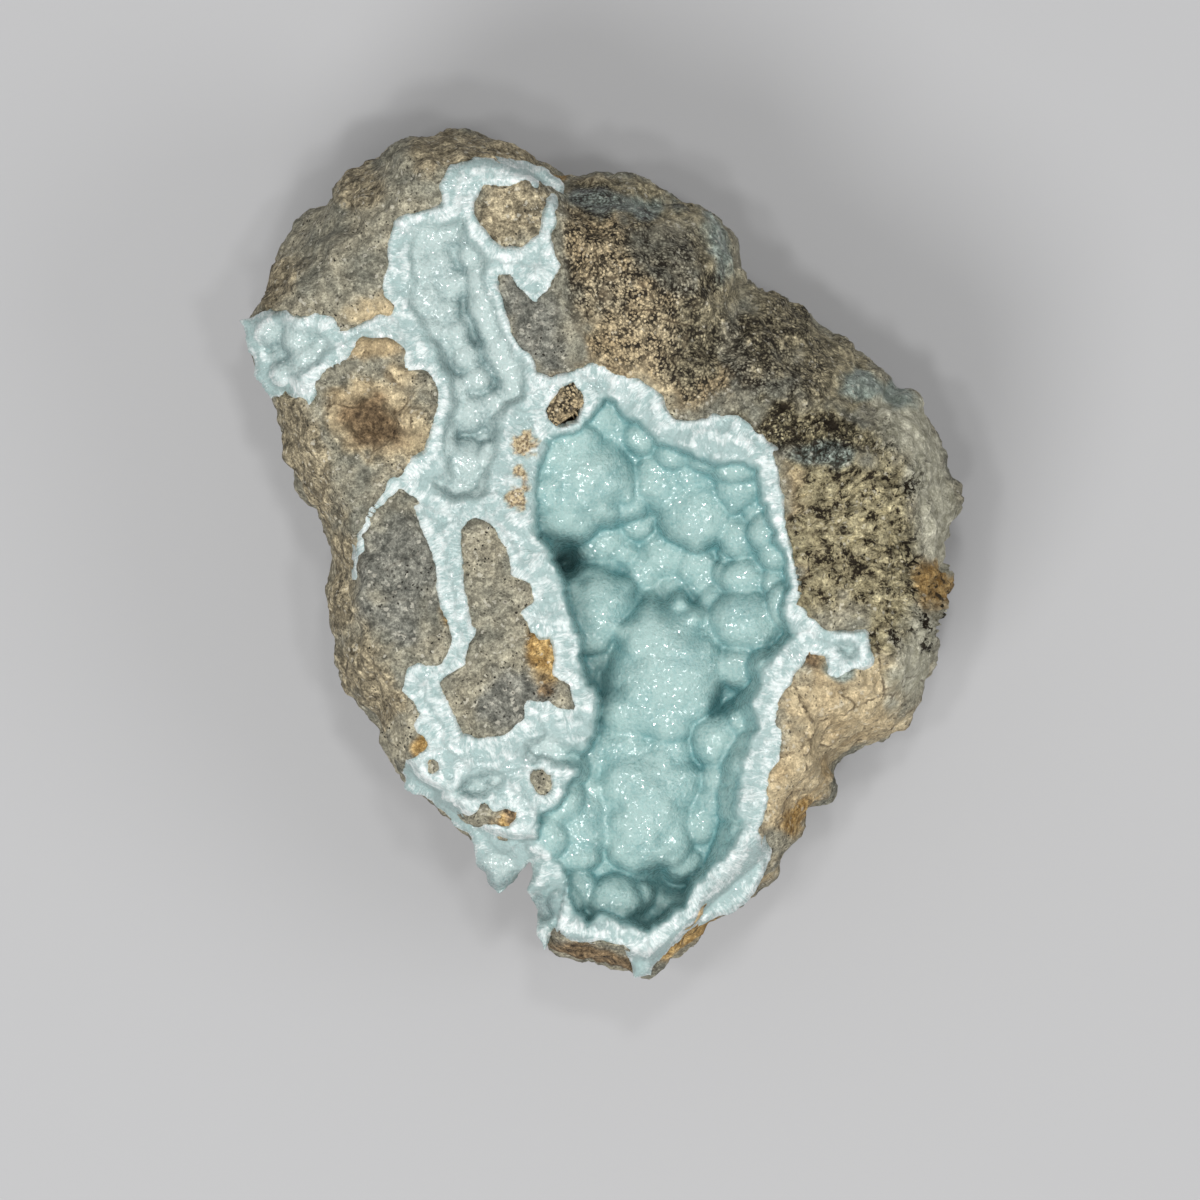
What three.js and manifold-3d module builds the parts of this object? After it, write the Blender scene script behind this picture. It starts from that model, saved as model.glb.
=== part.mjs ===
// Hemimorphite on matrix: a broken lump of brown rock, its hollows lined by one pale blue botryoidal crust.
// Millimetres, +Z up. The specimen lies on the flat of its back, with its open vug looking up.
// The origin is on the resting plane, under the middle of the specimen's outline.
import * as THREE from "three";
import { mergeVertices } from "three/addons/utils/BufferGeometryUtils.js";
import loadManifold from "manifold-3d";

const wasm = await loadManifold();
wasm.setup();

// Driving dimensions of the rock
const GIRTH_HEIGHT = 21; // where the outline is widest
const BASE_SHARE = 0.62; // the flat of the back, as a share of the outline
const HUB = new THREE.Vector2(6, -1); // a point in the vug that every section of the rock runs in to
const HUB_HEIGHT = 44; // the broken face, before the hollows are cut
const RIM_STEPS = 80; // sections round the rock
const FLANK_STEPS = 4; // rings between the flat of the back and the girth
const SHOULDER_STEPS = 4; // rings between the girth and the broken face
const FACE_SHARES = [0.7, 0.4]; // further rings in the face, as shares of its reach
const ROUGHNESS = 0.45; // how far the weathered flank swells and dips
const SOFTENING = 4; // sections either side that the outline is evened out over, at the flat of the back

// Driving dimensions of the crust
const SEAT_GAP = 0.3; // clearance between the crust and the rock that it lines
const OUTLINE_STEP = 2.2; // spacing of the points along a hollow's outline
const HOLLOW_TOP = 60; // clear above the face
const LUMP_SIDES = 8; // facets round a botryoidal lump
const LUMP_LEANS = [0, 45]; // degrees up a lump's dome at which its rings are drawn
const LUMP_FOOT = 10; // below every bed, so that each lump is rooted in the crust under it
const FINEST = 0.03; // slivers thinner than this are closed up

// The outline seen from above, clockwise from the top left
const ROCK_OUTLINE = [
  [-20.8, 41.1], [-18.8, 41.7], [-16.7, 41.3], [-13.3, 41.7], [-8.4, 40.4], [-5.8, 38.7], [-3.3, 37.5],
  [2.5, 37.5], [5.9, 35.9], [10.2, 34.8], [13, 32.1], [14.2, 27.3], [18.2, 25], [22.4, 22.3],
  [26.1, 19.5], [28.6, 18], [30.1, 15.8], [31.9, 15.4], [33.8, 11.6], [35, 6.4], [35.3, 3.9], [34.4, -1],
  [34.9, -3.2], [33.6, -7.3], [33.7, -10.5], [31.7, -15.6], [29.8, -17.8], [23.7, -21.7], [23.2, -24.2],
  [20.5, -26.4], [17.3, -32.2], [15.7, -33.8], [10.8, -37.2], [9.5, -39.1], [5.2, -42], [3.9, -42.1],
  [-1.3, -40.9], [-4.8, -39.5], [-4.1, -36.5], [-3.4, -33], [-3.7, -31], [-6, -30], [-10.2, -29.5],
  [-13.9, -27.7], [-16, -25.6], [-20, -22.6], [-22.4, -17.5], [-24.7, -14.7], [-26.2, -12.4],
  [-27.1, -6.3], [-27, -1], [-28.2, 3.9], [-29.8, 6.2], [-31.7, 12.3], [-33.4, 16.9], [-35.3, 22.7],
  [-33.7, 26.1], [-29.8, 32.6], [-26.6, 35], [-26.1, 36.7], [-22.5, 39.3],
];

// At eight bearings, anticlockwise from +X: how far in the shoulder reaches, and the height of the face
const SHOULDER_SHARE = [0.24, 0.5, 0.5, 0.24, 0.17, 0.15, 0.12, 0.3];
const FACE_HEIGHT = [45, 47, 47, 44, 43.5, 44, 43, 45];

// Swells and dips of the face: x, y, radius, height
const HILLS = [
  [4, 29, 6, 2.6], // bulge of the upper right skin
  [9.5, 21, 4.5, -2.2], // valley beside it
  [17, 20, 6, 1.6], // swell towards the right
  [-22, 13.3, 5.5, 1.8], // brown knob on the left
  [25, 1.5, 7, 1.2], // crumbly boss on the right
  [-21, -6, 7, 0.8], // grey left face
];

// Hollows: the line where crust meets rock, and the depth that the crust reaches
const VUG = {
  floor: 17,
  outline: [
    [-3.1, 17.4], [-1.1, 18.3], [0.4, 18], [2.2, 17.1], [4.7, 15.8], [5.9, 14.3], [7.4, 13], [9, 12.9],
    [11.4, 14.2], [13.3, 14.5], [14.5, 13.1], [16, 11.6], [17.2, 10], [17.3, 8.5], [18.2, 3.3],
    [19.1, -0.1], [19.7, -3.1], [19.9, -5.4], [20.6, -7.5], [20.8, -9.8], [19.2, -12.1], [18.1, -14.3],
    [17.6, -16.9], [18.1, -18.8], [16.8, -22.3], [16.4, -25.2], [15.3, -28], [14, -30.5], [11, -33.4],
    [7.5, -35.8], [4, -36.4], [1, -36], [-0.8, -34.5], [-1.2, -31.5], [-3, -28.8], [-6, -27], [-7.2, -24],
    [-8, -19], [-8, -5], [-9, 1], [-10.5, 3], [-10, 9], [-8, 12], [-5.5, 15],
  ],
};
const BOTTOM_RIM = {
  floor: 38.5,
  outline: [
    [15.5, -27], [16.5, -29.8], [15.1, -33.5], [10.8, -36.5], [8.4, -37.8], [6.9, -39.3], [5.4, -41.1],
    [4.8, -43], [3.3, -43], [2.8, -40], [2.1, -39.1], [-1.3, -38.9], [-4.2, -38], [-5.5, -39.5],
    [-6.3, -35.4], [-6.5, -30], [-6.5, -26], [-2, -27], [2, -30], [6, -32], [12, -29],
  ],
};
const RIGHT_VEIN = {
  floor: 36,
  outline: [
    [19, -5.5], [20.3, -6], [21.2, -7], [22.4, -7.8], [24.3, -8.3], [26.3, -8.4], [27.2, -11.1],
    [25, -11.9], [23.7, -12.7], [22.6, -12], [20.8, -9.8], [19, -12],
  ],
};
const CHANNEL = {
  floor: 27,
  outline: [
    [-20.4, 32.4], [-19, 33.1], [-16.4, 33.4], [-15.1, 33.9], [-15.6, 36], [-14.8, 37.9], [-11.6, 39],
    [-7.6, 38.1], [-5.5, 37.6], [-4.2, 36], [-4.7, 33], [-5.2, 30.4], [-4.1, 28.4], [-5.2, 25.6],
    [-6.3, 24.4], [-7.8, 26.2], [-8.9, 27.4], [-10.2, 27.3], [-10.4, 26], [-9.6, 23.4], [-8.6, 21],
    [-7.4, 19.2], [-6.4, 17.5], [-5, 17], [-3.2, 17.2], [-4, 15], [-5.5, 12], [-7.5, 8], [-9, 4.5],
    [-10.8, 2.5], [-13.5, 2.5], [-16, 2.8], [-17.2, 4.5], [-20.1, 6.7], [-17.2, 10.1], [-16.5, 12.5],
    [-16.2, 15.4], [-17.9, 17.6], [-19.3, 18.3], [-19.6, 19.8], [-20.2, 21.5], [-20.6, 23.8], [-21.6, 25],
    [-21, 28.5],
  ],
};
const LEFT_POCKET = {
  floor: 33,
  outline: [
    [-37, 22.8], [-33.2, 23.5], [-30.7, 23.7], [-29.9, 22.7], [-28.3, 23.2], [-26.8, 22.7], [-24.8, 21.8],
    [-21.5, 23.2], [-19.6, 22], [-19.2, 21], [-19.6, 20], [-23.8, 20.8], [-24.8, 18.5], [-27.7, 17.4],
    [-28.2, 16], [-29, 14.5], [-31, 15.4], [-34.5, 14.6],
  ],
};
const LOWER_VEINS = {
  floor: 38,
  outline: [
    [-18.4, 4.2], [-17.2, 4.8], [-13, 3.5], [-10, 3], [-7, -1], [-4, -9], [-2, -15], [-1, -19],
    [-2.5, -22], [-4, -25], [-5, -30.5], [-8, -32], [-13, -30.5], [-16, -26.4], [-20.6, -24],
    [-19.8, -22.2], [-19.2, -20.7], [-16.9, -19.6], [-18.3, -17.6], [-17.7, -16.3], [-19.6, -14],
    [-19.1, -12.2], [-15.9, -11.1], [-15.1, -9], [-15.3, -6.8], [-16.2, -2.2], [-17.6, 2],
  ],
};
const HOLLOWS = [VUG, BOTTOM_RIM, RIGHT_VEIN, CHANNEL, LEFT_POCKET, LOWER_VEINS];

// Islands of rock that stand up through the crust to the broken face
const ISLANDS = [
  [[-12.8, 35], [-11.8, 36], [-6, 36.4], [-4.9, 35.3], [-6, 31.2], [-7.6, 30], [-9.5, 29.8], [-12, 32.2]],
  [[-5.3, 13.8], [-4.8, 15.2], [-3.8, 16.3], [-2.5, 16.6], [-1.7, 15], [-2.2, 12.6], [-3.2, 11.8], [-4.6, 12]],
  [
    [-13.7, 2.1], [-13.4, -2.8], [-13.2, -6.3], [-12.5, -8], [-13.4, -11.2], [-15.6, -13.2], [-15.2, -15.8],
    [-13.7, -18.8], [-12.1, -18.8], [-8.8, -18], [-7.5, -16.8], [-7.3, -14.8], [-4.6, -15.6], [-3.1, -15],
    [-4.6, -12.4], [-4.4, -8.6], [-7, -7.6], [-6.6, -5], [-8.8, -2], [-9.2, 0], [-10.4, 1.8], [-12.1, 3.2],
  ],
  [[-7, -21.8], [-4.8, -22.1], [-4.4, -23.6], [-5.4, -24.7], [-6.4, -24.2]],
];

// Open cavities inside the crust: the mouth, the floor's height and how far the floor is drawn in
const CAVITIES = [
  {
    floor: 22,
    drawn: 0.7,
    mouth: [
      [-5.5, 11], [-3, 11.7], [-1.2, 13.5], [0.5, 15], [2.5, 14], [5.4, 11.4], [8, 10.2], [11.4, 9],
      [14.5, 8.8], [15.9, 8.2], [17, 2.8], [18.5, -0.5], [19.2, -3.5], [19.4, -8.7], [17.5, -10.7],
      [8, -11.5], [-2.3, -10.5], [-2.9, -7.2], [-4.3, -3], [-5.5, -0.3], [-6.3, 1], [-6.8, 5], [-6.6, 8],
    ],
  },
  {
    floor: 27,
    drawn: 0.75,
    mouth: [
      [-2.9, -7.2], [8, -6.5], [19.2, -7.5], [17.5, -10.7], [16, -13], [15.4, -15.5], [15.8, -19],
      [14.5, -21.5], [13.8, -24.5], [14.2, -27.4], [13, -30], [10.5, -33], [6.5, -37.2], [5, -38.3],
      [3, -37.4], [-1.3, -37.2], [-2.8, -36.3], [-3.6, -34.5], [-4.4, -31.2], [-6, -29.5], [-6.5, -26.5],
      [-4, -24.5], [-2.3, -22.5], [-1.5, -19.2], [-0.7, -17.5], [-0.8, -14], [-2.3, -10.5],
    ],
  },
  {
    floor: 32,
    drawn: 0.6,
    mouth: [
      [-18.6, 32.2], [-16, 32.4], [-13.5, 32.8], [-12.5, 31.2], [-11.2, 29.8], [-13, 28.5], [-13.2, 26],
      [-12.4, 23.2], [-11, 20], [-9.4, 17.4], [-7.2, 14.8], [-9.5, 13.8], [-10.7, 12], [-11.2, 9.5],
      [-11, 6.5], [-12.2, 5], [-14.5, 4.7], [-16.8, 7], [-15.9, 8.8], [-15.4, 12], [-14.9, 14.5],
      [-15.3, 16.5], [-16.7, 20.8], [-18.4, 22.8], [-19.2, 25.3], [-19, 29],
    ],
  },
  {
    floor: 34,
    drawn: 0.6,
    mouth: [
      [-33.8, 22.5], [-31, 22.8], [-29, 21.5], [-26.5, 20.5], [-26, 19], [-27.5, 17], [-30, 16], [-32, 17],
      [-33.4, 19],
    ],
  },
  { floor: 40, drawn: 0.7, mouth: [[-14.8, -24], [-13, -22.5], [-11, -21.5], [-9.5, -22], [-12, -24.5]] },
  { floor: 39, drawn: 0.7, mouth: [[23, -9], [26, -9.2], [26.2, -10.8], [24.5, -11.4], [23, -10.5]] },
];

// Botryoidal lumps in the hollows: x, y, height of the crown, radius
const LUMPS = [
  // the ledge on the upper left of the vug and the lumps that hang beside it
  [-1, 6.6, 42, 4.4], [-3.8, 8.8, 43, 4], [2.6, 10.9, 39, 2.8], [5.5, 6.8, 38, 2.5], [9.2, 4.1, 36.5, 3.4],
  // the upper right wall
  [14.1, 6.4, 40, 2.7], [13.9, 0.8, 38, 2.8], [17.3, -0.4, 41, 1.8], [14.4, -6.6, 38.5, 3.5],
  [14.5, -11.4, 36.5, 2.6],
  // the back of the vug
  [5.5, -0.6, 27, 3.4], [9.2, -2, 28, 3.2], [0.6, 1.6, 28, 3.2],
  // the left wall under the lip
  [-0.4, -5.2, 35.5, 3.6], [-1.4, -8.3, 36, 2.8],
  // the great lump in the middle
  [6, -10.8, 39.5, 5.4], [4.6, -15, 38.5, 5], [9.5, -13.3, 39.5, 2.9], [7, -17.6, 38.5, 2.6],
  // the great lump below it
  [2.4, -22, 36.5, 3.8], [7.2, -22, 36, 4], [4, -25.6, 37.5, 4.6], [4.2, -29.6, 38, 3.9],
  [8.4, -26.3, 35, 3.6],
  // the ball and its neighbours on the lower right
  [11.7, -18.9, 37, 2.3], [12.4, -23.3, 36, 2], [11, -26.4, 36, 2.3], [8.2, -31.2, 33, 2.4],
  // the lower left lobes and the ball in the bottom
  [-2, -21.8, 39.5, 3], [-2.4, -27, 41, 4.2], [1.3, -34.8, 38.5, 2.7], [-2.4, -34, 39, 2.2],
  // the upper channel, from its top down
  [-16, 31.5, 38.5, 2.2], [-17.4, 27.6, 40, 2.2], [-14.8, 27, 39, 2], [-17.2, 23.6, 40.5, 2.6],
  [-14.2, 20.8, 39.5, 2.3], [-13, 14.9, 40, 2.6], [-13.4, 8.6, 39, 2.9],
  // the left pocket
  [-31.6, 21.4, 40, 2.2], [-28.3, 18.8, 39.5, 2.3],
];

// Lobes of crust that hang clear of the rock's edge on the lower left, where the vug's wall is broken away
const HANGING_LOBES = [
  [-12, -28, 43, 3.2], [-8.6, -28, 43, 3.4], [-11.2, -31, 42, 2.8], [-8.4, -30.4, 42, 2.5],
  [-4.8, -36.4, 41, 2.2],
];

// The notch that opens the vug through its broken lower left wall
const NOTCH = { outline: [[-6.6, -31.2], [-4.2, -31.4], [-3.8, -32.7], [-6.2, -33.1]], floor: 20 };

// Finishes
const ROCK_FINISH = new THREE.MeshStandardMaterial({ color: 0x857b66, roughness: 0.92, metalness: 0 });
const CRUST_FINISH = new THREE.MeshStandardMaterial({ color: 0xa3c6c5, roughness: 0.32, metalness: 0 });

// A closed geometry as a solid that can be cut and joined
function solidOf(geometry) {
  const bare = geometry.clone();
  bare.deleteAttribute("normal");
  bare.deleteAttribute("uv");
  const merged = mergeVertices(bare, 1e-4);
  return new wasm.Manifold(
    new wasm.Mesh({
      numProp: 3,
      vertProperties: new Float32Array(merged.attributes.position.array),
      triVerts: new Uint32Array(merged.index.array),
    }),
  );
}

// A cut solid as a geometry again
function geometryOf(solid) {
  const mesh = solid.getMesh();
  const geometry = new THREE.BufferGeometry();
  geometry.setAttribute("position", new THREE.BufferAttribute(mesh.vertProperties, 3));
  geometry.setIndex(new THREE.BufferAttribute(mesh.triVerts, 1));
  geometry.computeVertexNormals();
  return geometry;
}

// Several solids joined in one
function joined(solids) {
  return solids.reduce((whole, next) => whole.add(next));
}

// A closed smooth line through hand-set points, as evenly spaced points in anticlockwise order
function smoothOutline(points, count) {
  const corners = points.map(([x, y]) => new THREE.Vector3(x, y, 0));
  const curve = new THREE.CatmullRomCurve3(corners, true, "centripetal");
  const steps = count ?? Math.round(curve.getLength() / OUTLINE_STEP);
  const line = curve.getSpacedPoints(steps).slice(0, steps).map((p) => new THREE.Vector2(p.x, p.y));
  return THREE.ShapeUtils.isClockWise(line) ? line.reverse() : line;
}

// An anticlockwise outline moved outwards by a distance, square to its own run
function grown(outline, distance) {
  return outline.map((point, i) => {
    const before = outline.at(i - 1);
    const after = outline[(i + 1) % outline.length];
    const run = after.clone().sub(before).normalize();
    return new THREE.Vector2(point.x + run.y * distance, point.y - run.x * distance);
  });
}

// A value set at eight compass bearings, eased between them
function atBearing(values, bearing) {
  const turn = THREE.MathUtils.euclideanModulo(bearing / (2 * Math.PI), 1) * values.length;
  const from = Math.floor(turn);
  const ease = THREE.MathUtils.smoothstep(turn - from, 0, 1);
  return THREE.MathUtils.lerp(values[from], values[(from + 1) % values.length], ease);
}

// The swells and dips of the broken face at a place
function hillHeight(x, y) {
  return HILLS.reduce((sum, [hx, hy, radius, height]) => {
    const away = ((x - hx) ** 2 + (y - hy) ** 2) / radius ** 2;
    return sum + height * Math.exp(-away);
  }, 0);
}

// The weathered flank's swell at a place: two crossed waves
function flankSwell(bearing, height) {
  return ROUGHNESS * (Math.sin(9 * bearing + 0.4 * height) + 0.6 * Math.sin(17 * bearing - 0.7 * height));
}

// One section of the rock, from the edge of its flat back, over the girth and the shoulder, in to the face
function rockSection(rim, index, outline) {
  const reach = rim.clone().sub(HUB);
  const span = 2 * SOFTENING + 1;
  const near = (i) => outline.at((index + i - SOFTENING) % outline.length);
  const around = Array.from({ length: span }, (_, i) => near(i));
  const evened = around.reduce((sum, p) => sum + p.distanceTo(HUB), 0) / span / reach.length();
  const bearing = reach.angle();
  const shoulder = atBearing(SHOULDER_SHARE, bearing);
  const face = atBearing(FACE_HEIGHT, bearing);
  const place = (share, height, swell) => {
    const x = HUB.x + reach.x * share;
    const y = HUB.y + reach.y * share;
    const out = (swell * flankSwell(bearing, height)) / reach.length();
    return new THREE.Vector3(x + reach.x * out, y + reach.y * out, height);
  };
  const section = [];
  for (let step = 0; step <= FLANK_STEPS; step++) {
    const lean = ((step / FLANK_STEPS) * Math.PI) / 2;
    const share = BASE_SHARE + (1 - BASE_SHARE) * Math.sin(lean);
    const even = THREE.MathUtils.lerp(evened, 1, (step / FLANK_STEPS) ** 3);
    const rough = step % FLANK_STEPS === 0 ? 0 : 1;
    section.push(place(share * even, GIRTH_HEIGHT * (1 - Math.cos(lean)), rough));
  }
  for (let step = 1; step <= SHOULDER_STEPS; step++) {
    const lean = ((step / SHOULDER_STEPS) * Math.PI) / 2;
    const share = 1 - shoulder * (1 - Math.cos(lean));
    section.push(place(share, GIRTH_HEIGHT + (face - GIRTH_HEIGHT) * Math.sin(lean), 0));
  }
  for (const share of FACE_SHARES) {
    section.push(place(share * (1 - shoulder), THREE.MathUtils.lerp(HUB_HEIGHT, face, share), 0));
  }
  const rises = section.slice(FLANK_STEPS + 1);
  for (const point of rises) point.z += hillHeight(point.x, point.y);
  return section;
}

// Rings of equal length stacked into one closed geometry, with a point at each end
function closedLoft(rings, firstPole, lastPole) {
  const count = rings[0].length;
  const points = [firstPole, ...rings.flat(), lastPole];
  const last = points.length - 1;
  const corner = (ring, i) => 1 + ring * count + (i % count);
  const faces = [];
  for (let i = 0; i < count; i++) {
    faces.push(0, corner(0, i + 1), corner(0, i));
    for (let ring = 0; ring + 1 < rings.length; ring++) {
      const [a, b] = [corner(ring, i), corner(ring, i + 1)];
      const [c, d] = [corner(ring + 1, i), corner(ring + 1, i + 1)];
      faces.push(a, b, d, a, d, c);
    }
    faces.push(last, corner(rings.length - 1, i), corner(rings.length - 1, i + 1));
  }
  const geometry = new THREE.BufferGeometry().setFromPoints(points);
  geometry.setIndex(faces);
  return geometry;
}

// The whole rock before its hollows are cut
function rockBlank() {
  const sections = smoothOutline(ROCK_OUTLINE, RIM_STEPS).map(rockSection);
  const rings = sections[0].map((_, level) => sections.map((section) => section[level]));
  const base = new THREE.Vector3(HUB.x, HUB.y, 0);
  const hub = new THREE.Vector3(HUB.x, HUB.y, HUB_HEIGHT + hillHeight(HUB.x, HUB.y));
  return solidOf(closedLoft(rings, base, hub));
}

// An upright prism on an outline, from a floor to clear above the face
function prism(outline, floor) {
  const geometry = new THREE.ExtrudeGeometry(new THREE.Shape(outline), {
    depth: HOLLOW_TOP - floor,
    bevelEnabled: false,
  });
  geometry.translate(0, 0, floor);
  return solidOf(geometry);
}

// The seats of the crust in the rock, grown by a clearance all round
function seats(clearance) {
  const edge = (outline, distance) => grown(smoothOutline(outline), distance);
  const beds = HOLLOWS.map(({ outline, floor }) => prism(edge(outline, clearance), floor - clearance));
  const posts = ISLANDS.map((outline) => prism(edge(outline, -clearance), 0));
  return joined(beds).subtract(joined(posts));
}

// A cavity that opens at its mouth and draws in to a rounded floor
function cavity({ mouth, floor, drawn }) {
  const outline = smoothOutline(mouth);
  const centre = outline.reduce((sum, p) => sum.add(p), new THREE.Vector2()).divideScalar(outline.length);
  const ringAt = (share, height) =>
    outline.map((p) => new THREE.Vector3().set(
      THREE.MathUtils.lerp(centre.x, p.x, share),
      THREE.MathUtils.lerp(centre.y, p.y, share),
      height,
    ));
  const wallFoot = floor + (1 - drawn) * (HUB_HEIGHT - floor);
  const rings = [
    ringAt(drawn, floor),
    ringAt((1 + drawn) / 2, wallFoot),
    ringAt(1, HUB_HEIGHT - 1),
    ringAt(1, HOLLOW_TOP),
  ];
  const below = new THREE.Vector3(centre.x, centre.y, floor);
  const above = new THREE.Vector3(centre.x, centre.y, HOLLOW_TOP);
  return solidOf(closedLoft(rings, below, above));
}

// A botryoidal lump: a dome under its crown, on a stem down to its foot
function lump([x, y, crown, radius], foot = LUMP_FOOT) {
  const ringAt = (reach, height) =>
    Array.from({ length: LUMP_SIDES }, (_, i) => {
      const turn = ((i + 0.5 * x) / LUMP_SIDES) * 2 * Math.PI;
      return new THREE.Vector3(x + reach * Math.cos(turn), y + reach * Math.sin(turn), height);
    });
  const dome = LUMP_LEANS.map((lean) => {
    const angle = THREE.MathUtils.degToRad(lean);
    return ringAt(radius * Math.cos(angle), crown - radius * (1 - Math.sin(angle)));
  });
  const rings = [ringAt(radius, foot), ...dome];
  return solidOf(closedLoft(rings, new THREE.Vector3(x, y, foot), new THREE.Vector3(x, y, crown)));
}

// A lobe that hangs free: a lump with a rounded underside
function lobe([x, y, crown, radius]) {
  const geometry = new THREE.IcosahedronGeometry(radius, 1);
  geometry.translate(x, y, crown - radius);
  return solidOf(geometry);
}

const rock = rockBlank();
const notch = prism(smoothOutline(NOTCH.outline), NOTCH.floor);

// The matrix: the rock with a seat cut for the crust in every hollow
function matrixSolid() {
  return rock.subtract(seats(SEAT_GAP)).subtract(notch).simplify(FINEST);
}

// The crust: it fills its seats up to the face, less the open cavities, with lumps grown on its walls
function crustSolid() {
  const bed = seats(0);
  const lining = bed.intersect(rock).subtract(joined(CAVITIES.map(cavity)));
  const grownLumps = joined(LUMPS.map((spec) => lump(spec))).intersect(bed);
  const lobes = joined(HANGING_LOBES.map(lobe)).subtract(rock.subtract(bed));
  return lining.add(grownLumps).add(lobes).subtract(notch).simplify(FINEST);
}

const matrix = new THREE.Mesh(geometryOf(matrixSolid()), ROCK_FINISH);
matrix.name = "matrix";

const crust = new THREE.Mesh(geometryOf(crustSolid()), CRUST_FINISH);
crust.name = "hemimorphite_crust";

const specimen = new THREE.Group();
specimen.add(matrix, crust);

export default specimen;
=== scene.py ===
"""Hemimorphite specimen: a broken lump of rock whose hollows are lined by one pale blue botryoidal crust.

Lengths in the tables are millimetres. x and y lie in the broken face, z is the height over the flat of the back.
"""
import itertools
import math

import bpy
import numpy as np
from bpy.props import FloatProperty, FloatVectorProperty, IntProperty, PointerProperty
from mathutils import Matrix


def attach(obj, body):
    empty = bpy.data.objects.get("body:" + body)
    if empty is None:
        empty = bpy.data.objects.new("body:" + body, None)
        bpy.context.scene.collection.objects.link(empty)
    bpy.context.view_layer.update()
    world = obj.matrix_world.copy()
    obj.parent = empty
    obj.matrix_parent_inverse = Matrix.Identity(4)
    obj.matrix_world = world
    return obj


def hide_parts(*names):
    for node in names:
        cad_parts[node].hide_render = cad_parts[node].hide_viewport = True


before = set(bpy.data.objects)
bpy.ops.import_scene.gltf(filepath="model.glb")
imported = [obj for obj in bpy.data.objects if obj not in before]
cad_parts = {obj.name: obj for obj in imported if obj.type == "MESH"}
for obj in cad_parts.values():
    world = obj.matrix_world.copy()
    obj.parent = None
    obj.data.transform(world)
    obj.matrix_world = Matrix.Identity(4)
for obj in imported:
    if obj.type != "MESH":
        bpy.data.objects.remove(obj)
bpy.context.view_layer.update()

bl_info = {
    "name": "Hemimorphite specimen",
    "version": (1, 0, 0),
    "blender": (4, 5, 0),
    "location": "3D View > Sidebar > Specimen",
    "description": "Builds the rock, its botryoidal crust and a plain stage",
    "category": "Add Mesh",
}

MM = 0.001
# The stage, in metres: half the floor's width, the camera's place over the face, and where the lights aim
FLOOR_HALF = 4
CAMERA_SHIFT = -0.005
LIGHT_AIM = (0.0, -0.002, 0.035)

# The rock: a point in the vug that every section runs out from, and the silhouette seen from above
HUB = (6.0, -1.0)
HUB_HEIGHT = 44.0
GIRTH_HEIGHT = 21.0
BASE_SHARE = 0.62
ROCK_OUTLINE = (
    (-20.8, 41.1), (-18.8, 41.7), (-16.7, 41.3), (-13.3, 41.7), (-8.4, 40.4), (-5.8, 38.7),
    (-3.3, 37.5), (2.5, 37.5), (5.9, 35.9), (10.2, 34.8), (13, 32.1), (14.2, 27.3), (18.2, 25),
    (22.4, 22.3), (26.1, 19.5), (28.6, 18), (30.1, 15.8), (31.9, 15.4), (33.8, 11.6), (35, 6.4),
    (35.3, 3.9), (34.4, -1), (34.9, -3.2), (33.6, -7.3), (33.7, -10.5), (31.7, -15.6),
    (29.8, -17.8), (23.7, -21.7), (23.2, -24.2), (20.5, -26.4), (17.3, -32.2), (15.7, -33.8),
    (10.8, -37.2), (9.5, -39.1), (5.2, -42), (3.9, -42.1), (-1.3, -40.9), (-4.8, -39.5),
    (-4.1, -36.5), (-3.4, -33), (-3.7, -31), (-6, -30), (-10.2, -29.5), (-13.9, -27.7),
    (-16, -25.6), (-20, -22.6), (-22.4, -17.5), (-24.7, -14.7), (-26.2, -12.4), (-27.1, -6.3),
    (-27, -1), (-28.2, 3.9), (-29.8, 6.2), (-31.7, 12.3), (-33.4, 16.9), (-35.3, 22.7),
    (-33.7, 26.1), (-29.8, 32.6), (-26.6, 35), (-26.1, 36.7), (-22.5, 39.3),
)
# At sixteen bearings, anticlockwise from +X: how far in the shoulder reaches, and the height of the face
SHOULDER_SHARE = (
    0.20, 0.28, 0.50, 0.52, 0.36, 0.10, 0.12, 0.12, 0.14, 0.12, 0.07, 0.06, 0.07, 0.16, 0.28, 0.24,
)
FACE_HEIGHT = (
    45, 46, 47, 47, 47, 45, 43.5, 43, 43.5, 44, 44, 43.5, 43, 43.5, 45, 45,
)
# Swells and dips of the face: x, y, radius, height
HILLS = (
    (4, 29, 6, 2.6), (9.5, 21, 4.5, -2.2), (17, 20, 6, 1.6), (-22, 13.3, 5.2, 2.6),
    (-22.5, 13, 2.3, -3.8), (25, 1.5, 7, 1.2), (-21, -6, 7, 0.8), (20, 11.5, 3.2, -1.4),
    (-12, 33, 3, 0.5),
)

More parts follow.
